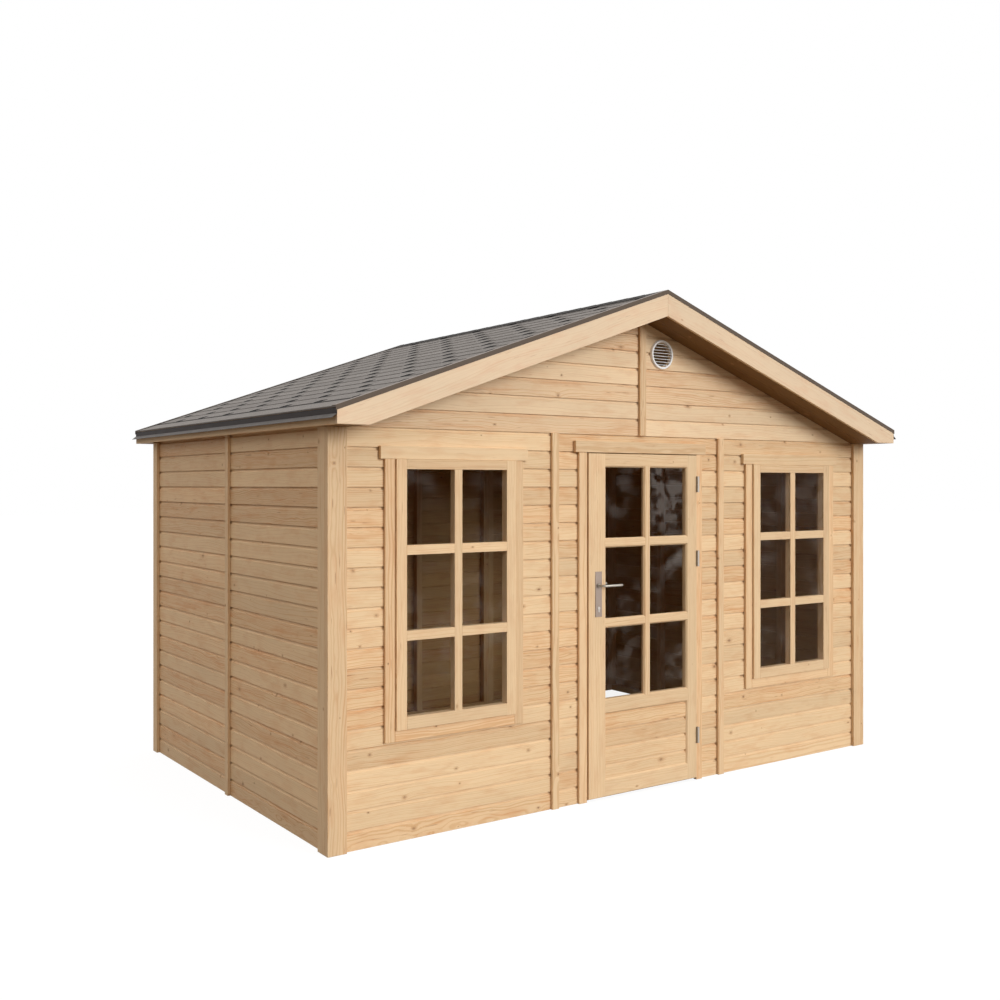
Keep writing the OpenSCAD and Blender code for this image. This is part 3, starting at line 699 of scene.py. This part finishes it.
def bored(boards, outline, ends, to_world, bore, steps=24):
    """A board with part of a round bore, (x, height, radius), cut through it: level bands that
    stop at the bore on either side."""
    x, middle, radius = bore
    log = boards.log()
    heights = [height for height, _ in outline]
    low, high = min(heights), max(heights)
    cuts = [middle - radius * math.cos(math.pi * i / steps) for i in range(steps + 1)]
    for bottom, top in zip([low] + cuts, cuts + [high]):
        bottom, top = max(bottom, low), min(top, high)
        if top - bottom < WELD:
            continue
        band = clip(outline, bottom, top)
        half = [math.sqrt(max(radius ** 2 - (height - middle) ** 2, 0.0))
                for height in (bottom, top)]
        if max(half) < 1e-6:
            boards.prism(band, ends, to_world, log)
            continue

        def edge(way, bottom=bottom, top=top, half=half):
            lean = (half[1] - half[0]) / (top - bottom)
            return lambda height, _depth: x + way * (half[0] + lean * (height - bottom))
        boards.prism(band, (ends[0], edge(-1)), to_world, log)
        boards.prism(band, (edge(1), ends[1]), to_world, log)


def clad_gable(node, face_y, inward, seed, bore=None):
    """Courses of a gable, cut to the slope of the roof on both sides of the middle."""
    bm = cad_mesh(node)
    outer = max(vert.co.x for vert in bm.verts)
    inner = min(abs(vert.co.x) for vert in bm.verts)
    peak = max(vert.co.z for vert in bm.verts)
    eave = max(vert.co.z for vert in bm.verts if abs(vert.co.x - outer) < LEVEL)
    bm.free()
    slope = (peak - eave) / (outer - inner)
    boards = Boards(seed, INSIDE_PAINTED_SHADE)
    to_world = wall_frame(Vector((0, face_y, 0)), X, inward)
    # Room that a course needs below the peak, and how far below it the last one is cut
    least, below_peak = 0.01, 0.002
    for side in (-1, 1):
        def tip(height, _depth, side=side):
            reach = min(outer, inner + (peak - height) / slope)
            return side * max(reach, inner + SLIVER)
        course = 0
        while WALL_H + course * COURSE < peak - least:
            foot = WALL_H + course * COURSE
            outline = clip(board_outline(foot), foot, peak - below_peak)
            ends = (side * inner, tip)
            if bore and side * bore[0] > 0 and \
                    abs(foot + COURSE / 2 - bore[1]) < bore[2] + COURSE / 2 + TONGUE:
                bored(boards, outline, ends, to_world, bore)
            else:
                bend = eave if foot < eave < foot + COURSE else None
                boards.prism(outline, ends, to_world, bend=bend)
            course += 1
    return boards


def clad_gables():
    """Both gables; the front one is bored for the vent."""
    vent_low, vent_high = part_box("gable_vent")
    centre = (vent_low + vent_high) / 2
    bore = centre.x, centre.z, (vent_high.x - vent_low.x) / 2 - VENT_FLANGE
    for node, inward, seed, hole in (("front_gable", Y, 300, bore), ("rear_gable", -Y, 310, None)):
        low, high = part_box(node)
        boards = clad_gable(node, low.y if inward == Y else high.y, inward, seed, hole)
        boards.piece(node + "_boards", GABLE_CLADDING_PAINTED_LIGHT, "cladding", [node])


# ---------------------------------------------------------------- framing, trims and roof boards

def plain_timbers():
    """Nodes whose CAD solids are the boards themselves."""
    frames = ("front_frames", "left_frame", "right_frame", "rear_frame", "door_frame",
              "gable_posts", "purlins", "rafters")
    rows = [(node, FRAMING, "framing", FRAME_EDGE) for node in frames] + [
        ("bargeboards", BARGE, "trim", TRIM_EDGE), ("eave_fascias", TRIM, "trim", TRIM_EDGE),
        ("corner_trims", TRIM, "trim", FRAME_EDGE), ("cover_battens", TRIM, "trim", TRIM_EDGE),
        ("window_casings", CASING, "trim", TRIM_EDGE), ("head_boards", TRIM, "trim", TRIM_EDGE),
        ("door_casing", CASING, "trim", TRIM_EDGE), ("soffit_boards", SOFFIT_PAINTED_SHADE, "soffit", FRAME_EDGE)]
    for number, (node, material, slot, edge) in enumerate(rows):
        boards = Boards(400 + number).from_cad(node, edge)
        boards.piece(node + "_timber", material, slot, [node])


class Slope:
    """The top plane of a sloping slab on one side of the ridge, and points below it."""

    def __init__(self, node):
        places = [vert.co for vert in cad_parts[node].data.vertices]
        self.side = -1 if places[0].x < 0 else 1
        self.inner = min(abs(p.x) for p in places)
        self.outer = max(abs(p.x) for p in places)
        self.front = min(p.y for p in places)
        self.back = max(p.y for p in places)
        top = [max(p.z for p in places if abs(abs(p.x) - x) < LEVEL)
               for x in (self.outer, self.inner)]
        foot = min(p.z for p in places if abs(abs(p.x) - self.outer) < LEVEL)
        angle = math.atan2(top[1] - top[0], self.outer - self.inner)
        self.up = Vector((-self.side * math.cos(angle), 0, math.sin(angle)))
        self.normal = Vector((self.side * math.sin(angle), 0, math.cos(angle)))
        self.origin = Vector((self.side * self.outer, 0, top[0]))
        self.length = (self.outer - self.inner) / math.cos(angle)
        self.thickness = (top[0] - foot) * math.cos(angle)
        self.lean = math.tan(angle)

    def place(self, along_y, up_slope, below):
        return self.origin + Y * along_y + self.up * up_slope - self.normal * below


def roof_boards():
    """Deck boards that run from gable to gable, seen from inside and below."""
    board_w, joint, cut = 0.096, 0.0002, 0.0015
    for number, side in enumerate(("left", "right")):
        node = "roof_boards_" + side
        slope = Slope(node)
        boards = Boards(500 + number)
        count = round(slope.length / board_w)
        width = slope.length / count
        for i in range(count):
            # The first and last boards are cut upright, to meet the fascia and the other slope
            plumb_foot = i == 0
            plumb_top = i == count - 1
            outline = chamfered((i * width + joint, 0), ((i + 1) * width - joint, slope.thickness),
                                cut)
            if plumb_foot or plumb_top:
                outline = [(a - d * slope.lean if (plumb_foot and a < width / 2) or
                            (plumb_top and a > (i + 0.5) * width) else a, d) for a, d in outline]

            def to_world(along, across, depth, slope=slope):
                return slope.place(along, across, depth)
            boards.prism(outline, (slope.front, slope.back), to_world)
        boards.piece(node + "_planks", FRAMING, "framing", [node])


# ---------------------------------------------------------------- shingles and metal

def shingle_sheet(bm, layers, slope, points, sinks, place_offset, tone):
    """One shingle: an outline of (y, distance up from its lower edge) points. sinks are, for its
    top and its underside, (depth of the lower edge below the slope's top plane, fall uphill)."""
    rows = []
    for under, (sink, fall) in enumerate(sinks):
        row = []
        for y, up in points:
            vert = bm.verts.new(slope.place(y, place_offset + up, sink + fall * up))
            vert[layers[0]] = Vector((y, up, place_offset))
            # The second value marks the underside, so that cut edges take the painted shade of the
            # notches
            vert[layers[1]] = Vector((tone, under, 0))
            row.append(vert)
        rows.append(row)
    join_rings(bm, rows[::-1])


def row_points(y0, y1, notches, length):
    """Outline of a shingle with notches cut in its lower edge, clipped to its own ends."""
    lower = [(y0, 0.0)]
    clear = 0.0005
    for centre in notches:
        cut = [(centre - NOTCH_MOUTH / 2, 0.0), (centre - NOTCH_TOP / 2, NOTCH_H),
               (centre + NOTCH_TOP / 2, NOTCH_H), (centre + NOTCH_MOUTH / 2, 0.0)]
        inside = [p for p in cut if y0 + clear < p[0] < y1 - clear]
        if len(inside) == 4:
            lower += cut
        elif cut[0][0] <= y0 < cut[3][0]:
            lower = [(y0, height_in_notch(y0 - centre))] + inside
        elif cut[0][0] < y1 <= cut[3][0]:
            lower += inside + [(y1, height_in_notch(y1 - centre))]
    if lower[-1][0] < y1 - clear:
        lower.append((y1, 0.0))
    return lower + [(y1, length), (y0, length)]


def height_in_notch(off_centre):
    """Height of a notch's edge at a distance from its centre."""
    half_top, half_mouth = NOTCH_TOP / 2, NOTCH_MOUTH / 2
    share = (half_mouth - abs(off_centre)) / (half_mouth - half_top)
    return NOTCH_H * min(1.0, max(0.0, share))


def shingles(side, seed):
    """Rows of shingles up one slope, each lapped over the row below, on a starter strip."""
    node = "shingles_" + side
    slope = Slope(node)
    draw = random.Random(seed)
    bm = bmesh.new()
    layers = [bm.verts.layers.float_vector.new(name) for name in ("place", "tone")]
    count = int((slope.length - FIRST_ROW) / EXPOSURE) + 1
    rows = [0.0] + [FIRST_ROW + EXPOSURE * k for k in range(count)]
    for number, edge in enumerate(rows):
        exposed = rows[1] if number == 0 else EXPOSURE
        length = min(exposed + LAP, slope.length - edge - 0.001)
        if length < NOTCH_H + 0.01:
            continue
        phase = NOTCH_PHASE[(number + 1) % 2]
        first = phase - TAB_W * math.ceil((phase - slope.front) / TAB_W + 1)
        places = (first + TAB_W * i for i in range(40))
        notches = [y for y in places if y < slope.back + TAB_W]
        # Shingles meet in the middle of every third notch, and the joints shift from row to row
        start = (number * 2) % TABS_A_PIECE
        joints = [slope.front] + [
            n for i, n in enumerate(notches) if i % TABS_A_PIECE == start
            and slope.front + SHORTEST < n < slope.back - SHORTEST] + [slope.back]
        for y0, y1 in zip(joints, joints[1:]):
            inner = [y0 + (JOINT if y0 > slope.front else 0),
                     y1 - (JOINT if y1 < slope.back else 0)]
            lift = 0.0002 + draw.uniform(0.0, 0.0002)
            fall = SHINGLE_T / exposed
            sinks = (lift, fall), (lift + SHINGLE_T, fall)
            points = row_points(*inner, [] if number == 0 else notches, length)
            shingle_sheet(bm, layers, slope, points, sinks, edge, draw.random())
    # A wedge under the first row brings its lower edge up to the rows' tilt
    strip = [(slope.front, 0), (slope.back, 0), (slope.back, STRIP_W), (slope.front, STRIP_W)]
    head = 0.0005 + SHINGLE_T
    sinks = (head, 0.03), (slope.thickness - 0.0001, 0.0)
    shingle_sheet(bm, layers, slope, strip, sinks, 0.0, 0.5)
    to_object(bm, node + "_tabs", SHINGLE, "shed", [node])


def ridge_cap():
    """Capping shingles bent over the ridge, each lapped over the one behind it. Their sides and
    underside go nearly black: painted shade along the cap's edge.
    """
    low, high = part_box("ridge_cap")
    slope = Slope("shingles_left")
    half = high.x
    count, thickness, drop_room, rounding = 20, 0.0019, 0.0014, 0.004
    step = (high.y - low.y) / count
    bm = bmesh.new()
    layers = [bm.verts.layers.float_vector.new(name) for name in ("place", "tone")]
    draw = random.Random(77)
    across = [-half, -half * 0.5, -0.012, -0.005, 0.0, 0.005, 0.012, half * 0.5, half]
    for i in range(count):
        y0 = low.y + i * step
        y1 = min(y0 + step * 1.25, high.y)
        drop = drop_room * (y1 - y0) / step
        corners = (y0, 0.0, 0.0), (y0, 0.0, thickness), (y1, drop, thickness), (y1, drop, 0.0)
        tone = draw.random()
        sections = []
        for x in across:
            round_off = slope.lean * max(0.0, rounding - abs(x)) * 0.5
            section = []
            for y, sink, under in corners:
                z = high.z - slope.lean * abs(x) - round_off - sink - under
                vert = bm.verts.new((x, y, z))
                # The second value starts at 0.03, past the step that darkens cut edges, and the
                # underside is marked, so the cap's sides and underside take the felt's black:
                # painted shade along the cap's edge
                vert[layers[0]] = Vector((x, 0.03 + (y - y0) * 0.3, y))
                vert[layers[1]] = Vector((tone, 1 if under else 0, 0))
                section.append(vert)
            sections.append(section)
        join_rings(bm, sections)
    to_object(bm, "ridge_capping", CAPPING_PAINTED_SHADE, "shed", ["ridge_cap"], smooth=60)


def folded_metal():
    """Verge trims and drip edges keep their CAD shape, with softened folds."""
    coats = {"front_verge_trim": VERGE_METAL, "rear_verge_trim": REAR_VERGE_METAL,
             "drip_edges": DRIP_METAL}
    for node, material in coats.items():
        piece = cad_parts[node]
        piece.data.materials.clear()
        piece.data.materials.append(material)
        weld = piece.modifiers.new("weld", "WELD")
        weld.merge_threshold = WELD
        fold = piece.modifiers.new("fold", "BEVEL")
        fold.width = 0.0005
        fold.segments = 2
        fold.limit_method = "ANGLE"


# ---------------------------------------------------------------- windows

def ladder(low, high, bar_h, bar_w):
    """Spans of the panes of a glazed opening: ([(x0, x1)], [(z0, z1)])."""
    def spans(start, stop, count, bar):
        size = (stop - start - bar * (count - 1)) / count
        return [(start + i * (size + bar), start + i * (size + bar) + size) for i in range(count)]
    return spans(low.x, high.x, PANE_COLUMNS, bar_w), spans(low.z, high.z, PANE_ROWS, bar_h)


def joinery_frame(parts):
    """Stiles from left to right, rails from the foot up, the face's y, the frame's depth, and
    to_world for upright and for level members."""
    stiles = sorted((p for p in parts if p[1].z - p[0].z > 1.0), key=lambda p: p[0].x)
    rails = sorted((p for p in parts if p[1].z - p[0].z < 1.0), key=lambda p: p[0].z)
    face = stiles[0][0].y

    def upright(along, across, depth):
        return Vector((across, face + depth, along))

    def level(along, across, depth):
        return Vector((along, face + depth, across))
    return stiles, rails, face, stiles[0][1].y - face, upright, level


def sash(boards, parts, glass):
    """A fixed sash: stiles and rails, and plain bars before and behind the glass."""
    stiles, rails, face, back, upright, level = joinery_frame(parts)
    ease, cut = 0.0012, 0.0008
    for low, high in stiles:
        boards.prism(chamfered((low.x, 0), (high.x, back), ease), (low.z, high.z), upright)
    for low, high in rails:
        boards.prism(chamfered((low.z, 0), (high.z, back), ease), (low.x, high.x), level)
    light_low = Vector((stiles[0][1].x, 0, rails[0][1].z))
    light_high = Vector((stiles[1][0].x, 0, rails[1][0].z))
    columns, rows = ladder(light_low, light_high, WINDOW_BAR_H, WINDOW_BAR_W)
    pane_face, pane_back = glass[0].y - face, glass[1].y - face
    for d0, d1 in ((0.0, pane_face - FIT), (pane_back + FIT, WINDOW_BAR_D)):
        for left, right in zip(columns, columns[1:]):
            boards.prism(chamfered((left[1], d0), (right[0], d1), cut),
                         (light_low.z + FIT, light_high.z - FIT), upright)
        for below, above in zip(rows, rows[1:]):
            log = boards.log()
            for x0, x1 in columns:
                boards.prism(chamfered((below[1], d0), (above[0], d1), cut), (x0 + FIT, x1 - FIT),
                             level, log)


def windows():
    parts = solids("window_sashes")
    panes = solids("window_glass")
    boards = Boards(600)
    glass = bmesh.new()
    for side in (-1, 1):
        pane = next(p for p in panes if p[0].x * side > 0)
        sash(boards, [p for p in parts if p[0].x * side > 0], pane)
        eased_box(glass, pane[0], pane[1], GLASS_EDGE)
    boards.piece("window_sash_frames", JOINERY, "joinery", ["window_sashes"])
    to_object(glass, "window_panes", GLASS, "shed", ["window_glass"])


# ---------------------------------------------------------------- door

def door():
    """The leaf's frame with beaded bars before its glass and plain ones behind, and its boards."""
    stiles, rails, face, back, upright, level = joinery_frame(solids("door_leaf"))
    boards = Boards(700)
    light_x0, light_x1 = stiles[0][1].x, stiles[1][0].x
    light_z0, light_z1 = rails[1][1].z, rails[2][0].z
    ease = 0.0015
    glass_low, glass_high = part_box("door_glass")
    lines = glass_low.y - face, glass_high.y - face

    def member(low, high, bead_low, bead_high, d0, d1):
        """Outline with a bead, a sloping cut, along either edge; beads lie on the outer face."""
        low_w, low_d = (BEAD_W, BEAD_D) if bead_low else (ease, ease)
        high_w, high_d = (BEAD_W, BEAD_D) if bead_high else (ease, ease)
        return [(low + low_w, d0), (low, d0 + low_d), (low, d1 - ease), (low + ease, d1),
                (high - ease, d1), (high, d1 - ease), (high, d0 + high_d), (high - high_w, d0)]

    def back_bar(low, high, ends, to_world):
        """The plain half of a bar, behind the glass."""
        outline = chamfered((low + 0.008, lines[1] + FIT), (high - 0.008, back), 0.003)
        boards.prism(outline, ends, to_world)

    def scribed(edge, way):
        """End of a member that meets a bead: at the face it reaches over the bead's slope."""
        return lambda _across, depth: edge + way * BEAD_W * max(0.0, 1 - depth / BEAD_D)

    for (low, high), beads in zip(stiles, ((False, True), (True, False))):
        boards.prism(member(low.x, high.x, *beads, 0, back), (low.z, high.z), upright)
    span = scribed(light_x0, -1), scribed(light_x1, 1)
    for (low, high), beads in zip(rails, ((False, True), (True, True), (True, False))):
        boards.prism(member(low.z, high.z, *beads, 0, back), span, level)
    light_low, light_high = Vector((light_x0, 0, light_z0)), Vector((light_x1, 0, light_z1))
    columns, rows = ladder(light_low, light_high, DOOR_BAR_H, DOOR_BAR_W)
    left, right = columns
    boards.prism(member(left[1], right[0], True, True, 0, lines[0] - FIT),
                 (scribed(light_z0, -1), scribed(light_z1, 1)), upright)
    back_bar(left[1], right[0], (light_z0, light_z1), upright)
    for below, above in zip(rows, rows[1:]):
        for x0, x1 in columns:
            boards.prism(member(below[1], above[0], True, True, 0, lines[0] - FIT),
                         (scribed(x0, -1), scribed(x1, 1)), level)
            back_bar(below[1], above[0], (x0, x1), level)
    boards.piece("door_leaf_frame", JOINERY, "joinery", ["door_leaf"], "door")

    panel = Boards(710)
    low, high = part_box("door_boarding")
    clad(panel, (low, high), 0, wall_frame(Vector((0, low.y, 0)), X, Y))
    panel.piece("door_panel_boards", CLADDING, "cladding", ["door_boarding"], "door")

    glass = bmesh.new()
    eased_box(glass, glass_low, glass_high, GLASS_EDGE)
    to_object(glass, "door_pane", GLASS, "door", ["door_glass"])


# ---------------------------------------------------------------- ironmongery and vent

def lathe(bm, profile, centre, axis, segments=32):
    """Turned solid: (distance along the axis, radius) points, from end to end."""
    side = Z.cross(axis) if abs(axis.z) < 0.9 else X
    side.normalize()
    third = axis.cross(side)
    join_rings(bm, [ring(bm, centre + axis * along, side, third, radius, segments)
                    for along, radius in profile])


def hinges():
    """Barrel hinges: each half is a turned barrel with its plate in the gap."""
    plate_edge = 0.0003
    for node, body, name in (("hinge_knuckles", "shed", "hinge_lower_halves"),
                             ("hinge_leaves", "door", "hinge_upper_halves")):
        bm = bmesh.new()
        for low, high in solids(node):
            size = high - low
            if size.x > 0.010 and abs(size.x - size.y) < 0.002:
                radius, tip, tall = size.x / 2 - 0.002, 0.0008, size.z
                centre = Vector(((low.x + high.x) / 2, (low.y + high.y) / 2, low.z))
                lathe(bm, [(0.0, radius * 0.6), (tip, radius), (tall - tip, radius),
                           (tall, radius * 0.6)], centre, Z)
            else:
                eased_box(bm, low, high, plate_edge)
        to_object(bm, name, HINGE_STEEL, body, [node])


def lock_plates():
    """Long plates on both faces of the stile, with a key cylinder in each."""
    low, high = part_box("lock_plates")
    lever_low, lever_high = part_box("door_lever")
    leaf_low, leaf_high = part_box("door_leaf")
    bm = bmesh.new()
    middle = (low.x + high.x) / 2
    key_drop, key_r, key_edge, lift, depth = 0.123, 0.0085, 0.0006, 0.0002, 0.0028
    tail_w, tail_h, slot_w, slot_d = 0.010, 0.022, 0.0024, 0.0004
    key_z = (lever_low.z + lever_high.z) / 2 - key_drop

    def slab(x0, x1, y_pair, z0, z1, edge):
        y0, y1 = sorted(y_pair)
        eased_box(bm, Vector((x0, y0, z0)), Vector((x1, y1, z1)), edge)

    for face, way in ((leaf_low.y - FIT, -1), (leaf_high.y + FIT, 1)):
        front = face + way * PLATE_T
        slab(low.x, high.x, (face, front), low.z, high.z, 0.0011)
        plate_faces = set(bm.faces)
        lathe(bm, [(lift, key_r), (depth - key_edge, key_r), (depth, key_r - key_edge)],
              Vector((middle, front, key_z)), Y * way, 40)
        slab(middle - tail_w / 2, middle + tail_w / 2,
             (front + way * lift, front + way * (depth - 0.0003)),
             key_z - tail_h, key_z - key_r * 0.6, key_edge)
        slab(middle - slot_w / 2, middle + slot_w / 2,
             (front + way * depth, front + way * (depth + slot_d)),
             key_z - 0.006, key_z + 0.005, 0.0001)
        for made in bm.faces:
            if made not in plate_faces:
                made.material_index = 1
    pair = to_object(bm, "lock_plate_pair", LOCK_STEEL, "door", ["lock_plates"])
    pair.data.materials.append(CYLINDER_STEEL)


def lever():
    """Levers on both faces: a collar and neck that bend into a round grip, and the spindle."""
    low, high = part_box("door_lever")
    centre_z = (low.z + high.z) / 2
    axis_x = low.x + (high.z - low.z) / 2
    grip_r, neck_r, bend = 0.0068, (high.z - low.z) / 2, 0.016
    collar_h, collar_edge = 0.0085, 0.0015
    bm = bmesh.new()
    for face, way in ((low.y, 1), (high.y, -1)):
        grip_y = face + way * grip_r
        start = plate_outer(way)
        path = [Vector((axis_x, start + (grip_y + way * bend - start) * i / 3, centre_z))
                for i in range(4)]
        for i in range(1, 9):
            turn = math.radians(90 * i / 8)
            path.append(Vector((axis_x + bend * (1 - math.cos(turn)),
                                grip_y + way * bend * (1 - math.sin(turn)), centre_z)))
        tip = high.x
        path += [Vector((axis_x + bend + (tip - axis_x - bend) * share, grip_y, centre_z))
                 for share in (0.35, 0.7, 0.96)]
        sweep(bm, path, grip_r)
        lathe(bm, [(0.0, neck_r), (collar_h - collar_edge, neck_r),
                   (collar_h, neck_r - collar_edge), (collar_h, grip_r)],
              Vector((axis_x, start, centre_z)), Y * -way, 40)
    spindle_r = 0.004
    lathe(bm, [(0.0, spindle_r), (plate_outer(-1) - plate_outer(1), spindle_r)],
          Vector((axis_x, plate_outer(1), centre_z)), Y, 16)
    to_object(bm, "door_lever_pair", LEVER_STEEL, "handle", ["door_lever"])


def plate_outer(way):
    """Y at which a lever leaves its plate, on the outside (1) or the inside (-1) of the door."""
    leaf_low, leaf_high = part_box("door_leaf")
    off = PLATE_T + 2 * FIT
    return leaf_low.y - off if way == 1 else leaf_high.y + off


def sweep(bm, path, radius, segments=24):
    """Round bar along a level path, with rounded tips."""
    stations = []
    for i, point in enumerate(path):
        before, after = path[max(i - 1, 0)], path[min(i + 1, len(path) - 1)]
        stations.append((point, (after - before).normalized(), radius))
    tip, way, _ = stations[-1]
    for i in range(1, 5):
        turn = math.radians(90 * i / 4.4)
        stations.append((tip + way * radius * 0.8 * math.sin(turn), way, radius * math.cos(turn)))
    join_rings(bm, [ring(bm, point, way.cross(Z).normalized(), Z, size, segments)
                    for point, way, size in stations])


def vent():
    """Round vent: a flange with a raised rim, and sloping louvres across its mouth."""
    low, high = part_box("gable_vent")
    radius = (high.x - low.x) / 2
    centre = Vector(((low.x + high.x) / 2, high.y, (low.z + high.z) / 2))
    deep = high.y - low.y
    mouth = radius - 0.0138
    bm = bmesh.new()
    profile = [(0.0, radius), (0.004, radius), (0.0065, radius - 0.0015),
               (deep - 0.0012, radius - 0.0024), (deep, radius - 0.0036), (deep, mouth + 0.0016),
               (deep - 0.0012, mouth + 0.0004), (deep - 0.003, mouth), (0.0, mouth)]
    join_rings(bm, [ring(bm, centre - Y * out, X, Z, r, 96) for out, r in profile], closed=True)
    louvres, tilt, blade, thick = 8, math.radians(20), 0.0095, 0.0022
    pitch = 2 * mouth / (louvres + 0.5)
    along = Vector((0, -math.cos(tilt), -math.sin(tilt)))
    across = Vector((0, -math.sin(tilt), math.cos(tilt)))
    for k in range(louvres):
        z = centre.z + (k - (louvres - 1) / 2) * pitch
        rise = abs(z - centre.z) + blade * 0.3
        half = math.sqrt(max((mouth + 0.0006) ** 2 - rise ** 2, 1e-6))
        middle = Vector((centre.x, centre.y - deep * 0.52, z))
        corners = ((-1, -1), (1, -1), (1, 1), (-1, 1))
        join_rings(bm, [[
            bm.verts.new(middle + X * x + along * a * blade / 2 + across * b * thick / 2)
            for a, b in corners] for x in (-half, half)])
    to_object(bm, "round_vent", PLASTIC, "shed", ["gable_vent"])


# ---------------------------------------------------------------- studio

def white_to_viewer(tree):
    """1 for rays that see the background: straight, in a reflection or through glass."""
    path = tree.node("LightPath").outputs
    seen = tree.math("MAXIMUM", path["Is Camera Ray"], path["Is Glossy Ray"])
    return tree.math("MAXIMUM", seen, path["Is Transmission Ray"])


def studio():
    """White round about to the viewer; a soft sky, a low soft key and a dim floor to the object."""
    world = bpy.data.worlds.new("studio")
    bpy.context.scene.world = world
    sky = Tree("studio", world)
    side, _, height = sky.split(sky.node("TexCoord").outputs["Generated"])
    lift = sky.fit(sky.step(height, 0.08, 0.6), 0.88, 0.12)
    lift = sky.mul(lift, sky.fit(side, -0.20, 1.0))
    ambient = sky.node("Background", {"Color": (1.0, 0.96, 0.94, 1), "Strength": lift})
    white = sky.node("Background", {"Color": (1, 1, 1, 1), "Strength": 1.0})
    sky.mixed(white_to_viewer(sky), ambient, white)

    mesh = bpy.data.meshes.new("studio_floor")
    reach = 60.0
    corners = [(-reach, -reach, 0), (reach, -reach, 0), (reach, reach, 0), (-reach, reach, 0)]
    mesh.from_pydata(corners, [], [(0, 1, 2, 3)])
    floor = add_object("studio_floor", mesh)
    paint = Tree("studio_floor")
    dim = paint.node("BsdfDiffuse", {"Color": (0.20, 0.155, 0.11, 1)})
    shaded = paint.node("BsdfDiffuse", {"Color": (0.12, 0.12, 0.12, 1)})
    glow = paint.node("Emission", {"Color": (1, 1, 1, 1), "Strength": 0.92})
    lifted = paint.node("AddShader", {0: shaded.outputs[0], 1: glow.outputs[0]})
    mesh.materials.append(paint.mixed(white_to_viewer(paint), dim, lifted))

    key = bpy.data.lights.new("key", "SUN")
    key.energy = 2.07
    key.angle = math.radians(27)
    key.color = (0.96, 0.985, 1.0)
    lamp = add_object("key", key)
    toward = Vector((0.38, -1.0, 0.27))
    lamp.rotation_euler = toward.to_track_quat("Z", "Y").to_euler()


def camera():
    """The photograph's viewpoint, level, with the horizon moved by a small shift."""
    data = bpy.data.cameras.new("camera")
    data.lens = 39.94
    data.sensor_width = 36.0
    data.shift_y = -0.01485
    eye = add_object("camera", data)
    eye.location = (-4.226, -5.888, 1.713)
    eye.rotation_euler = (math.radians(90), 0, math.radians(-35.02))
    bpy.context.scene.camera = eye
    bpy.context.scene.view_settings.view_transform = "Standard"


clad_walls()
clad_gables()
plain_timbers()
roof_boards()
shingles("left", 21)
shingles("right", 22)
ridge_cap()
folded_metal()
windows()
door()
hinges()
lock_plates()
lever()
vent()
studio()
camera()
